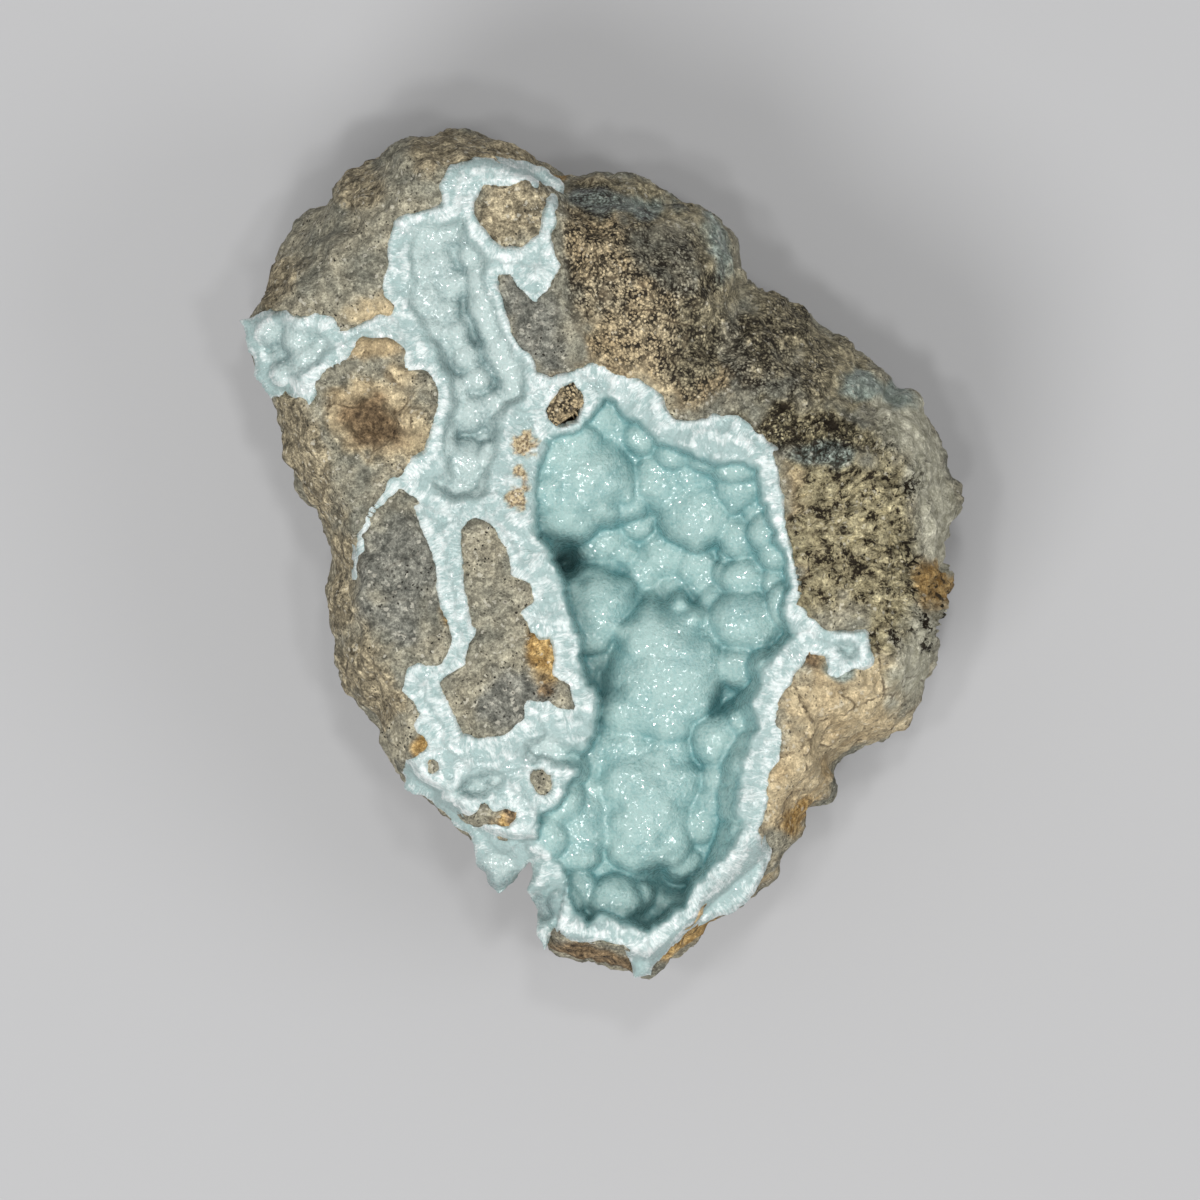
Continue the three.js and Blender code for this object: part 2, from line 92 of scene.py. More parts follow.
# Where crust meets rock
VUG = (
    (-3.1, 17.4), (-1.1, 18.3), (0.4, 18), (2.2, 17.1), (3.5, 16.8), (4.7, 15.8), (5.9, 14.3),
    (7.4, 13), (9, 12.6), (10.5, 12.9), (11.4, 13.3), (13.3, 13.2), (14.5, 12.5), (16, 11.4),
    (17.1, 10), (17.3, 8.5), (17.7, 6.3), (18.2, 3.3), (19.1, -0.1), (19.7, -3.1), (19.9, -5.4),
    (21.2, -7), (22.4, -7.8), (24.3, -8.3), (26.3, -8.4), (26.6, -10.2), (27.2, -11.1),
    (25, -11.9), (23.7, -12.7), (22.7, -12.4), (22.5, -10.5), (20.8, -9.7), (20.4, -10.7),
    (19.2, -12.1), (18.1, -14.3), (17.6, -16.9), (18.1, -18.8), (17.6, -21), (16.8, -22.3),
    (16.4, -25.2), (15.7, -28), (16.5, -29.8), (15.8, -31.8), (15.1, -33.5), (13.4, -35),
    (10.8, -36.5), (8.4, -37.8), (6.9, -39.3), (5.4, -41.1), (5, -42.2), (3.3, -42.5),
    (2.8, -40), (2.1, -39.1), (-1.3, -38.9), (-2.9, -38.9), (-4.2, -38), (-5.4, -39.7),
    (-6, -38.5), (-6.3, -35.4), (-7, -33.9), (-6.5, -30), (-7, -25), (-8, -19), (-8, -5),
    (-9, 1), (-10.5, 3), (-10, 9), (-8, 12), (-5.5, 15),
)
CHANNEL = (
    (-20.4, 32.4), (-19, 33.1), (-16.4, 33.4), (-15.1, 33.9), (-15.6, 36), (-14.8, 37.9),
    (-13.4, 38.3), (-11.6, 39), (-10, 38.4), (-7.6, 38.1), (-5.5, 37.6), (-4.2, 36), (-4.7, 33),
    (-5.2, 30.4), (-4.1, 28.4), (-5.2, 25.6), (-6.3, 24.4), (-7.8, 26.2), (-8.9, 27.4),
    (-10.2, 27.3), (-10.4, 26), (-9.6, 23.4), (-8.6, 21), (-7.4, 19.2), (-6.4, 17.5), (-5, 17),
    (-3.2, 17.2), (-4, 15), (-5.5, 12), (-7.5, 8), (-9, 4.5), (-10.8, 2.5), (-13.5, 2.5),
    (-16, 2.8), (-17.2, 4.5), (-19.5, 6), (-20.1, 6.7), (-18.6, 8.4), (-17.2, 10.1),
    (-16.5, 12.5), (-16.2, 15.4), (-16.5, 16.4), (-17.9, 17.6), (-19.3, 18.3), (-19.6, 19.8),
    (-20.2, 21.5), (-20.6, 23.8), (-21.6, 25), (-21.4, 26.5), (-21, 28.5), (-20.6, 30.5),
)
LEFT_POCKET = (
    (-35.6, 22.8), (-33.2, 23.5), (-30.7, 23.7), (-29.9, 22.7), (-28.3, 23.2), (-26.8, 22.7),
    (-26, 21.8), (-24.8, 21.8), (-23, 22.5), (-21.5, 23.2), (-20, 22.8), (-19.2, 21),
    (-19.6, 20), (-21.5, 20.5), (-23.8, 20.8), (-24.3, 19.8), (-24.8, 18.5), (-26.5, 18.2),
    (-27.7, 17.4), (-28.2, 16), (-29, 14.5), (-29.7, 15), (-31, 15.4), (-32.8, 15),
    (-33.8, 16.9), (-34.8, 18.8),
)
LOWER_VEINS = (
    (-18.4, 4.2), (-17.2, 4.8), (-15.5, 4.5), (-13, 3.5), (-10, 3), (-7, -1), (-4, -9),
    (-2, -15), (-1, -19), (-2.5, -22), (-4, -25), (-5.2, -30), (-6.5, -30.8), (-7.4, -31.8),
    (-8.7, -33.1), (-10, -34.2), (-11.2, -33.5), (-12.5, -31.4), (-12.9, -28.9), (-13.9, -27.9),
    (-16, -25.8), (-19.6, -23.5), (-19.9, -22.2), (-19.2, -20.7), (-17.5, -20.2), (-16.6, -19.3),
    (-17.2, -18.6), (-18.3, -17.6), (-17.7, -16.3), (-18.8, -15), (-19.6, -14), (-19.1, -12.2),
    (-17.8, -11.5), (-15.9, -11.1), (-15.1, -9), (-15.3, -6.8), (-15.7, -4.5), (-16.2, -2.2),
    (-17, -0.2), (-17.6, 2),
)
HOLLOWS = (VUG, CHANNEL, LEFT_POCKET, LOWER_VEINS)

# Rock that stands up through the crust
ISLANDS = (
    (
        (-12.8, 35), (-11.8, 36), (-10, 36.2), (-8, 36.4), (-6, 36.4), (-4.6, 35.5), (-5.1, 33.5),
        (-6, 31.2), (-7.6, 30), (-9.5, 29.8), (-11, 30.8), (-12, 32.2), (-12.8, 33.6),
    ),
    (
        (-5.3, 13.8), (-4.8, 15.2), (-3.8, 16.4), (-2.5, 16.8), (-1.8, 15.8), (-1.7, 14.2),
        (-2.2, 12.6), (-3.2, 11.8), (-4.4, 12), (-5.3, 12.8),
    ),
    (
        (-13.7, 2.1), (-13.7, -0.2), (-13.4, -2.8), (-13.2, -6.3), (-12.5, -8), (-13.4, -11.2),
        (-15.7, -13.2), (-15.2, -15.8), (-13.7, -18.8), (-12.1, -18.8), (-8.8, -18), (-7.5, -16.8),
        (-7.5, -14.8), (-5.5, -14.6), (-4.2, -16), (-2.8, -15.5), (-3.2, -13.7), (-4.7, -12.5),
        (-4.2, -11.1), (-4.6, -8.4), (-7, -8.1), (-7.8, -6.6), (-6.3, -5.3), (-7, -3.3), (-8.8, -2),
        (-9.1, 0), (-10.4, 1.8), (-12.1, 3.2),
    ),
    (
        (-7, -21.8), (-6.1, -21.7), (-4.8, -22.1), (-4.4, -23.6), (-5.4, -24.7), (-6.2, -24.4),
        (-6.9, -23.3),
    ),
    (
        (-12.7, -26.6), (-11.6, -24.9), (-10.4, -25.7), (-9.4, -25.3), (-8.2, -25.8), (-8.2, -26.9),
        (-9.1, -27.5), (-10.7, -27.4), (-11.8, -27.3),
    ),
    ((-17.4, -21.2), (-16.8, -20.6), (-16, -20.9), (-15.9, -21.9), (-16.5, -22.5), (-17.2, -22.2)),
)
# A thin vein that leaves the channel: its line and half its width
VEIN = ((-18.8, 7.5), (-21, 5.4), (-22.6, 3.9), (-23.9, 1.6), (-24.4, -2))
VEIN_HALF_WIDTH = 0.55

# Open cavities inside the crust: mouth, steepness of the wall
CAVITIES = (
    ((
        (-5.5, 11), (-3, 11.7), (-1.2, 13.5), (0.5, 15), (2.5, 14), (4, 12.6), (5.4, 11.4),
        (8, 10.2), (11.4, 9), (14.5, 8.8), (15.9, 8.2), (16.2, 5.5), (17, 2.8), (18.5, -0.5),
        (19.2, -3.5), (18.8, -6.5), (19.4, -8.7), (17.5, -10.7), (16, -13), (15.4, -15.5),
        (15.8, -19), (14.5, -21.5), (13.8, -24.5), (14.2, -27.4), (13, -30), (10.5, -33), (8.6, -35),
        (6.5, -37.2), (5, -38.3), (3, -37.4), (1, -37), (-1.3, -37.2), (-2.8, -36.3), (-3.6, -34.5),
        (-3.6, -32.8), (-4.4, -31.2), (-6, -29.5), (-6.5, -26.5), (-4, -24.5), (-2.3, -22.5),
        (-2.8, -20.7), (-1.5, -19.2), (-0.7, -17.5), (-0.8, -14), (-1.5, -12.5), (-2.3, -10.5),
        (-2.9, -7.2), (-3.8, -5.3), (-4.3, -3), (-5.5, -0.3), (-6.3, 1), (-6.4, 3), (-6.8, 5),
        (-6.6, 8),
    ), 25.0),
    ((
        (-18.6, 32.2), (-16, 32.4), (-13.5, 32.8), (-12.5, 31.2), (-11.2, 29.6), (-10.9, 28.2),
        (-10.9, 26), (-10.2, 23.4), (-9.3, 21), (-8.0, 18.9), (-7.0, 17.2), (-7.2, 14.8),
        (-8.9, 13.8), (-9.9, 12), (-10.5, 9.5), (-10.6, 6.5), (-12, 4.8), (-14.5, 4.7), (-16.2, 5.6),
        (-16.8, 7), (-15.9, 8.8), (-15.4, 12), (-14.9, 14.5), (-15.3, 16.5), (-16.2, 18.8),
        (-16.7, 20.8), (-18.4, 22.8), (-19.2, 25.3), (-19, 29),
    ), 3.0),
    ((
        (-33.8, 22.5), (-31, 22.8), (-29, 21.8), (-26.8, 20.9), (-26.6, 19.6), (-28.4, 18.1), (-29.8, 16.4),
        (-32, 17), (-33.4, 19), (-34.2, 21),
    ), 2.2),
    ((
        (-14.8, -24), (-13, -22.5), (-11, -21.5), (-9.5, -22), (-10, -23.5), (-12, -24.5),
        (-14, -25),
    ), 2.0),
    ((
        (23, -9), (26, -9.2), (26.2, -10.8), (24.5, -11.4), (23, -10.5),
    ), 1.2),
    ((
        (-7.4, -19.2), (-5.2, -17.8), (-3.4, -19.2), (-1.2, -19.2), (-0.8, -21), (-2, -22), (-3.5, -21.2),
        (-5.5, -21.2), (-7, -21.5), (-8, -20.5),
    ), 2.4),
)
# Lumps that fill the rest of each cavity: how many are tried, least and greatest radius
FILLERS = (
    (150, 0.8, 1.5), (1200, 0.5, 1.3), (300, 0.5, 1.1), (80, 0.4, 0.9), (40, 0.4, 0.7), (40, 0.4, 0.8),
)
# Pits between the lumps: x, y, radius, depth
PITS = (
    (-4.1, 0.6, 1.6, 16.0), (-3.0, -0.6, 1.4, 13.0), (-4.8, 2.0, 1.0, 8.0), (5.75, 3.9, 0.7, 6.0),
    (11.6, 6.9, 0.8, 5.0), (13.0, -14.8, 1.4, 2.0), (11.4, -15.6, 1.0, 1.5), (6.4, -32.6, 1.8, 2.5),
    (8.2, -33.0, 1.6, 4.0), (5.0, -36.2, 1.5, 2.5), (10.0, -20.6, 1.0, 4.0), (18.4, -2.8, 0.7, 3.0),
    (2.0, -20.2, 0.9, 2.0), (11.2, -1.8, 0.9, 3.0), (-14.8, 17.6, 0.8, 4.0), (-11.6, 29.8, 0.8, 3.0),
    (-12.4, 11.3, 0.9, 2.0), (-13.1, 24.4, 0.6, 2.0), (-12.6, 21.4, 0.7, 2.5), (-11.2, 18.2, 0.7, 2.5),
    (-10.2, 16.6, 0.7, 2.0), (-30.8, 19.2, 0.8, 2.0), (-2.6, -20.6, 0.8, 2.0),
)

# Botryoidal lumps: x, y, half width, half height, turn in degrees, crown under the face
LUMPS = (
    # the ledge on the upper left of the vug, and the lumps beside it
    (-1.5, 7.2, 5.2, 4.8, 0, 1.2), (-3.6, 4.5, 4, 3.5, 0, 2.2), (-4.2, 8.6, 3, 3, 0, 1.6),
    (0, 13.6, 2.6, 2.6, 0, 2.8), (2.2, 12, 2.9, 2.9, 0, 4), (2.9, 4.6, 1.9, 1.7, 0, 4.6),
    (5.7, 7.2, 2.4, 3.1, 0, 4.4), (9.7, 4, 3.7, 4, 0, 4.4), (9, 8, 2.4, 2.4, 0, 5),
    (11.8, 8.2, 1.5, 1.4, 0, 5.2), (-4.8, 9.6, 2.4, 2.4, 0, 1), (-2.4, 11, 2.6, 2, 0, 1.5),
    (-5.2, 5.8, 2.2, 2.6, 0, 1.3), (4.2, 11.2, 1.8, 1.8, 0, 3.2), (7.4, 9.6, 2, 1.7, 0, 3.2),
    (10.4, 9.2, 1.9, 1.5, 0, 3.4),
    # the right wall, from the top down
    (14, 6.3, 2.6, 2.7, 0, 4), (14.1, 1.5, 2.3, 2.4, 0, 4.8), (17.5, -0.1, 1.8, 2.1, 0, 3.2),
    (14.6, -2.7, 2.6, 1.9, 0, 5), (14.8, -7.2, 3.8, 3.3, 0, 3.6), (11.2, -5.5, 1.6, 2.2, 0, 7),
    (14.4, -11.4, 2.9, 2.4, 0, 4.7), (17.4, -3.2, 1.4, 1.6, 0, 4.4), (15.6, 3.9, 1.5, 1.7, 0, 4.2),
    (13.6, 8.2, 2.2, 1.5, 0, 2.8), (16.4, 1.8, 1.7, 2, 0, 2.8), (18, -5.4, 1.3, 2, 0, 2.8),
    # the back of the vug
    (6.7, -0.1, 2.9, 2.9, 0, 8), (4.3, -1.8, 2.5, 2.5, 0, 8.6), (9.6, -1.2, 2.4, 2.4, 0, 7.4),
    (7.6, -4, 2.4, 2.4, 0, 8.8), (10.4, -3.5, 1.9, 1.9, 0, 7.8), (0.2, 0.9, 2.8, 2.2, 0, 7.4),
    (3.8, 2.9, 1.8, 1.8, 0, 7), (2.3, -0.2, 1.6, 1.5, 0, 8.2),
    # the left wall under the lip
    (-0.3, -5.9, 4.2, 4, 0, 4.8), (-1.2, -8.2, 2.8, 2.4, 0, 5.4), (-0.2, -10.6, 1.7, 1.7, 0, 7.4),
    (-1.5, -12.2, 1.4, 1.6, 0, 7.6), (0.8, -11.8, 1.3, 1.4, 0, 8.2), (0, -14.2, 1.3, 1.5, 0, 8),
    # the great lump in the middle
    (6.4, -12.2, 5.9, 7.8, -17, 2.6), (8.8, -12, 3.7, 3.9, 0, 2.7), (3.4, -16, 3.4, 3.2, 0, 4),
    (6.8, -17, 2.8, 2.5, 0, 3.9), (0.9, -18.2, 1.4, 1.3, 0, 6.4), (4, -18.7, 1.6, 1.2, 0, 6.2),
    (9, -15, 2.4, 2.4, 0, 3.6), (5.2, -8.8, 3.6, 3.6, 0, 3.3), (2.6, -19.6, 3.2, 2.4, 0, 5),
    (6.6, -20, 3, 2.2, 0, 5.1),
    # the great lump below it
    (4.6, -25.5, 5.4, 6.6, 0, 3.4), (3.9, -28.4, 4, 3.9, 0, 3.8), (2.6, -22.7, 3.3, 3.3, 0, 4.2),
    (7.4, -23.4, 3, 3.3, 0, 4.5), (8.3, -31, 2.1, 1.6, 0, 6.4), (6.8, -29.3, 2.4, 2.4, 0, 4.9),
    # the ball and its neighbours on the lower right
    (11.7, -18.9, 2.7, 2.7, 0, 3.4), (12.3, -22.7, 2.3, 2.3, 0, 4.6), (11.6, -25.6, 2.8, 2.6, 0, 4.9),
    (10.3, -26.9, 2.3, 2.5, 0, 5.5),
    # the lower left lobes and the balls in the bottom
    (-1.6, -21.2, 2.2, 2.6, 0, 5), (-2.2, -27.2, 3.5, 3.9, 0, 3.8), (-4, -25, 2.6, 2.6, 0, 2.5),
    (-1, -24, 1.9, 1.9, 0, 5.2), (-2.5, -30.5, 2.4, 1.7, 0, 4.2), (-5.5, -28.5, 2.4, 2.4, 0, 2.2),
    (1.4, -35, 2.6, 2.5, 0, 3.4), (-2, -33.8, 1.8, 2.2, 0, 4.8), (0, -32.2, 1.7, 1.4, 0, 6.6),
    (-3.4, -35, 1.6, 1.9, 0, 3.4),
    # the channel
    (-16.9, 31.2, 1.6, 1.5, 0, 0.7), (-14.8, 31.6, 1.6, 1.6, 0, 0.9), (-18, 28, 1.8, 1.8, 0, 0.5),
    (-16, 28.6, 1.9, 1.9, 0, 0.8), (-14.6, 26.6, 1.8, 1.8, 0, 1.1), (-17.2, 25, 2.2, 2.2, 0, 0.5),
    (-15.4, 23.8, 1.7, 1.7, 0, 0.7), (-16.6, 21.8, 1.7, 1.9, 0, 0.5), (-14.4, 21.6, 1.7, 1.9, 0, 0.6),
    (-13.4, 19.4, 1.5, 1.7, 0, 0.7), (-12.2, 17, 1.6, 1.6, 0, 0.8), (-12.9, 13.8, 2.5, 2.2, 0, 0.9),
    (-10.4, 14.6, 1.8, 1.6, 0, 1.1), (-13.5, 8.8, 2.9, 2.6, 0, 1), (-14.2, 6.2, 2.2, 1.6, 0, 1.2),
    (-12.9, 29.4, 1.4, 1.6, 0, 1), (-11.2, 11.4, 1.3, 1.3, 0, 2.2), (-15.3, 12.4, 1, 1.8, 0, 0.8),
    (-11.3, 23.2, 1.6, 3.8, 19, 0.5), (-9.6, 19, 1.7, 3.6, 27, 0.6), (-11.9, 26.8, 1.5, 2.4, 4, 0.5),
    (-8.6, 16.2, 1.7, 1.8, 30, 0.8),
    # the left pocket
    (-32.4, 21.8, 2.1, 1.7, 0, 0.3), (-30, 21, 1.7, 1.6, 0, 0.8), (-28.6, 19.2, 2.2, 1.8, 0, 0.5),
    (-33.4, 19.8, 1.4, 1.4, 0, 0.7), (-31.2, 17.6, 1.4, 1.3, 0, 0.6), (-29.8, 17.6, 1.2, 1.2, 0, 0.9),
    (-27.4, 20.6, 1.2, 1.1, 0, 0.6), (-31.6, 19.4, 1.2, 1.1, 0, 2),
    # the small cavities on the lower left and the right
    (-13, -23.8, 1.1, 1, 0, 1.2), (-11.2, -22.4, 1.2, 0.9, 0, 1.3), (-4.8, -19.6, 2.1, 1.8, 0, 0.7),
    (-3.4, -21.6, 1.7, 1.7, 0, 1.2), (24.4, -10.1, 1.1, 1, 0, 1), (25.6, -10, 0.9, 0.9, 0, 0.8),
    # the free lobes past the rock, on the lower left
    (-10.1, -31.6, 2.7, 2.3, 0, 1.4), (-11.6, -30, 1.5, 1.5, 0, 1.4), (-8, -31, 1.5, 1.3, 0, 1.6),
    (-5.2, -35.6, 1.4, 1.5, 0, 2), (-5.8, -33.9, 0.9, 0.9, 0, 1.2), (-5, -37.6, 1.1, 1.2, 0, 2.4),
)
# Broken edge that turns down into free lobes: x, y, radius, fall
DIPS = ((-10.4, -32.6, 2.4, 4.0), (-5.6, -35.5, 1.6, 3.0))
# Spots where rock shows through the broad broken edge: x, y, radius
STAINS = ((-7.5, 10.5, 1.3), (-8.0, 7.6, 0.8), (-8.2, 5.0, 1.2))
# Bearings in degrees where the crust's edge hangs free: it begins to, does so from, does so to, and ends
FREE_EDGES = ((214, 218, 272, 276), (144, 147, 158, 161))
# The crust's grid along x and along y: its start, the start and the end of its fine middle part, its end
GRID_X = (-37, -7.5, 20.5, 29)
GRID_Y = (-44, -39, 16, 41)
# The crust's edge: how far it is shaken and over what length, how far below the face it may drop, and the radius of
# its rim where it hangs free
EDGE_SHAKE, SHAKE_LENGTH = 0.30, 1.9
LEVEL_DROP = 4.0
RIM_RADIUS = 1.6
# The lip of a cavity: radius of its rounding; length of its lobes, their reach, and their offset from the mouth
VUG_LIP, SMALL_LIP = 0.9, 1.1
LOBE_LENGTH, LOBE_REACH, LOBE_OFFSET = 2.6, 0.75, 0.8
# How widely a lump joins its neighbours, as a share of its radius: the listed ones and the small ones
LUMP_JOIN, SMALL_JOIN = 0.28, 0.2
# How far the floor lies under a lump's crown, as a share of its radius: in the vug, and left of this x
VUG_LEFT = -7
VUG_FLOOR, SIDE_FLOOR = 0.82, 1.05
# Bumps on the crust: length of the swells, and their height on the lumps and on the broken edge; length and height of
# the knobs and of the sugary grain
BUMP_LENGTH, LUMP_BUMP, EDGE_BUMP = 2.6, 0.25, 0.8
KNOB_LENGTH, KNOB_HEIGHT = 0.95, 0.13
SUGAR_LENGTH, SUGAR_HEIGHT = 0.45, 0.04
# How thick the crust is, and how deep its underside lies under a free edge
CRUST_THICKNESS, FREE_THICKNESS = 0.9, 5.4
# The rock under the crust: its depth under the broken edge, its height under the vug and under the channel, and its
# depth under the other cavities
EDGE_SEAT, VUG_SEAT, CHANNEL_SEAT, POCKET_SEAT = 1.7, 15.0, 30.0, 5.2

# Patches of the rock's skin: x, y, half width, half height, turn in degrees
PATCHES = {
    "velvet": (
        (5, 26, 9, 9, 0), (0, 31, 5, 7, 0), (9, 20, 7, 6, 0), (16, 20, 7, 5, -30),
        (-3.4, 14.2, 3, 3, 0), (20, 11.5, 7, 3, -15),
    ),
    "crumb": ((25, 2, 8, 10, 0), (20, 12, 6, 2.5, -10), (30, -5, 4.5, 6, 0)),
    "tan": (
        (24, -16, 8, 6, 30), (20, -22, 4, 6, -30), (20.5, 3, 2.4, 8, 6), (4, 21, 6, 6, 0),
        (0, 32, 3.5, 6, 0), (8, 17, 5, 3, 0), (-23, 20.3, 4, 1.4, 0), (-22, 24, 4, 1.4, 20),
        (12, -36, 6, 3, 35), (-16, 6, 1.5, 1.5, 0), (-22.2, 13.4, 4.4, 4.2, 0), (-3.4, 14.2, 2.6, 2.6, 0),
    ),
    "pale": ((33, 5, 2.2, 11, 5), (32, -10, 2.5, 6, -15), (30.5, 13, 3, 4, 30)),
    "dark": (
        (5, 34.5, 9, 2.5, -8), (12, 28, 3, 6, 10), (18, 22, 5, 4, -30), (23, 19, 6, 4, -35),
        (10, 21.5, 3, 6, -20), (21, 12, 5, 2, -10), (-22.6, 13.2, 2.4, 2.8, 20),
    ),
    "ochre": (
        (-5.7, -10, 2, 3, 0), (-4.3, 37.8, 1.4, 1.2, 0), (-14.5, -6.2, 1.3, 1.6, 0), (19.7, -26.5, 1, 2.5, -30),
        (9, -38.5, 3.5, 1.2, 25), (33, -3, 2, 2.5, 0), (-17.3, -19.6, 1.2, 1.6, 0),
        (-9, -27, 2, 1.5, 0),
    ),
    "glassy": (
        (12.2, 30.5, 2, 4.5, 15), (2, 34.5, 6, 1.2, -8), (26, 16.5, 2.5, 1.5, 0), (22, 9.5, 4, 1.2, -5),
        (30.5, 15.5, 2, 1.5, 0), (24, -12, 1.5, 1.2, 0),
    ),
    "umber": (
        (-22.4, 12.7, 2.9, 3.2, 20), (-8.9, -26.3, 0.9, 1.1, 0), (-5.4, -14.0, 0.8, 0.6, 0),
        (20.6, -10.4, 1.2, 1.5, 0), (-0.5, -40.6, 5, 1.2, -12),
    ),
    "grey": ((-19.5, -2.5, 4.5, 6, 0), (-6.5, 22.5, 3, 5.5, 25), (-9, -15, 4, 4, 0)),
    "brown": (
        (-22, 13, 6, 5.5, 0), (-24, 36, 3, 2.5, 30), (-33, 27, 2.5, 4, -30), (-26.5, -2, 2, 8, 0),
        (-23, -13, 3, 5, 25), (-8.6, 33.4, 4.6, 4, 0), (-29, 8, 3, 8, 15), (-12, 39.5, 9, 2.5, 0),
    ),
}
# How ragged the patches' edges are, and over what length
PATCH_RAGGED, RAGGED_LENGTH = 0.35, 2.2
# Under this height the patches wander to the side, and over this range of heights they fade out
WANDER_BELOW = 32
FLANK_FADE = (15, 28)
# Relief of the rock's skin: length of its swells; length and height of its grain; length of its crumbs; length and
# height of the grains of its velvet patches
SWELL_LENGTH = 5.0
GRAIN_LENGTH, GRAIN_HEIGHT = 1.9, 0.42
CRUMB_LENGTH = 1.7
VELVET_LENGTH, VELVET_HEIGHT = 0.75, 0.14
# Tones of the rock: the noise that picks the tone, its dark and its pale sRGB colour; the patches in the order laid
PLAIN_ROCK = ("broad", (120, 119, 106), (156, 150, 130))
ROCK_SKINS = {
    "grey": ("tone", (104, 105, 97), (128, 127, 117)),
    "brown": ("tone", (108, 99, 80), (172, 160, 132)),
    "tan": ("broad", (172, 153, 119), (190, 174, 141)),
    "dark": ("tone", (116, 109, 87), (166, 156, 128)),
    "crumb": ("crumbs", (80, 70, 47), (188, 178, 143)),
    "pale": ("tone", (160, 157, 136), (194, 191, 172)),
    "ochre": ("tone", (142, 108, 56), (180, 152, 102)),
    "glassy": ("tone", (110, 121, 112), (156, 166, 156)),
    "umber": ("tone", (82, 67, 49), (140, 119, 90)),
}
# Pale chips; painted shade for the gaps between grains, for small pits and for the crevices between crumbs; dark
# cracks
CHIP_COLOUR, GAP_SHADE_COLOUR, PIT_SHADE_COLOUR = (222, 217, 200), (36, 31, 23), (32, 29, 24)
CRACK_COLOUR, CREVICE_SHADE_COLOUR = (58, 46, 32), (34, 27, 16)
# The middle part of a noise, where most of its values lie
MIDDLE = (0.36, 0.64)
# Dark and pale sRGB colours of the whiter lumps outside the vug, between which painted light and shade and random tone
# choose, and of the rock that shows through the broken edge
MILKY_SHADE_AND_LIGHT_TONES = ((90, 118, 119), (176, 192, 189))
STAIN_TONES = ((112, 96, 72), (196, 178, 142))


def lattice(cell, seed):
    """A fixed random number from 0 to 1 for every whole-number cell: its coordinates stirred as 32-bit integers."""
    stirred = np.full(cell.shape[:-1], (seed * 747796405 + 2891336453) % 2**32, np.uint32)
    for axis in range(cell.shape[-1]):
        stirred ^= cell[..., axis].astype(np.int64).astype(np.uint32)
        stirred *= np.uint32(2654435761)
        stirred ^= stirred >> np.uint32(15)
        stirred *= np.uint32(2246822519)
        stirred ^= stirred >> np.uint32(13)
    return stirred / 2.0**32


def noise(place, seed):
    """Smooth noise from -1 to 1: random values at the whole-number corners, eased between them. Each use has a seed of
    its own."""
    corner = np.floor(place)
    ease = place - corner
    ease = ease**3 * (ease * (ease * 6 - 15) + 10)
    corner = corner.astype(np.int64)
    total = np.zeros(place.shape[:-1])
    for step in itertools.product((0, 1), repeat=place.shape[-1]):
        weight = np.prod(np.where(step, ease, 1 - ease), axis=-1)
        total += weight * lattice(corner + np.array(step), seed)
    return 2 * total - 1


def rough(place, seed, octaves):
    """Noise added to itself, each layer twice as fine and half as high as the last."""
    return sum(noise(place * 2**k, seed + k) / 2**k for k in range(octaves))


def grains(place, seed):
    """Cells round one random point in every unit cell: distance to the nearest and to the second nearest point,
    and the nearest one's own random number."""
    home = np.floor(place).astype(np.int64)
    size = place.shape[-1]
    first = np.full(place.shape[:-1], 9.0)
    second = first.copy()
    mark = np.zeros(place.shape[:-1])
    for step in itertools.product((-1, 0, 1), repeat=size):
        cell = home + np.array(step)
        point = cell + np.stack([lattice(cell, seed + axis) for axis in range(size)], -1)
        away = np.linalg.norm(place - point, axis=-1)
        nearer = away < first
        second = np.where(nearer, first, np.minimum(second, away))
        mark = np.where(nearer, lattice(cell, seed + 7), mark)
        first = np.minimum(first, away)
    return first, second, mark


def ramp(value, low, high):
    """0 at low and 1 at high, eased between them."""
    share = np.clip((value - low) / (high - low), 0, 1)
    return share * share * (3 - 2 * share)


def outline_distance(x, y, points):
    """Distance to a closed outline, positive inside, and how far along the outline the nearest place lies.
    The nearest place is found on each edge in turn, and the inside by counting the edges crossed to the right."""
    start = np.array(points, float)
    edge = np.roll(start, -1, 0) - start
    length = np.hypot(edge[:, 0], edge[:, 1])
    run = np.concatenate([[0], np.cumsum(length)[:-1]])
    nearest = np.full(x.shape, 1e9)
    along = np.zeros(x.shape)
    inside = np.zeros(x.shape, bool)
    for (ax, ay), (ex, ey), size, before in zip(start, edge, length, run):
        share = np.clip(((x - ax) * ex + (y - ay) * ey) / size**2, 0, 1)
        away = (x - ax - share * ex) ** 2 + (y - ay - share * ey) ** 2
        nearer = away < nearest
        nearest = np.where(nearer, away, nearest)
        along = np.where(nearer, before + share * size, along)
        if ey:
            inside ^= ((ay > y) != (ay + ey > y)) & (x < ax + (y - ay) * ex / ey)
    return np.where(inside, 1, -1) * np.sqrt(nearest), along


def line_distance(x, y, points):
    """Distance to an open line: the least of the distances to its straight parts."""
    nearest = np.full(x.shape, 1e9)
    for (ax, ay), (bx, by) in zip(points, points[1:]):
        ex, ey = bx - ax, by - ay
        share = np.clip(((x - ax) * ex + (y - ay) * ey) / (ex**2 + ey**2), 0, 1)
        nearest = np.minimum(nearest, (x - ax - share * ex) ** 2 + (y - ay - share * ey) ** 2)
    return np.sqrt(nearest)


def bells(x, y, table):
    """A bell curve for every row of a table of x, y, radius and height, added up."""
    return sum(height * np.exp(-((x - cx) ** 2 + (y - cy) ** 2) / r**2) for cx, cy, r, height in table)


def ellipse_share(x, y, half_x, half_y, turn):
    """How far out a place lies from the middle of a turned ellipse: 0 in the middle, 1 on its line."""
    c, s = math.cos(math.radians(turn)), math.sin(math.radians(turn))
    return np.hypot((x * c + y * s) / half_x, (y * c - x * s) / half_y)


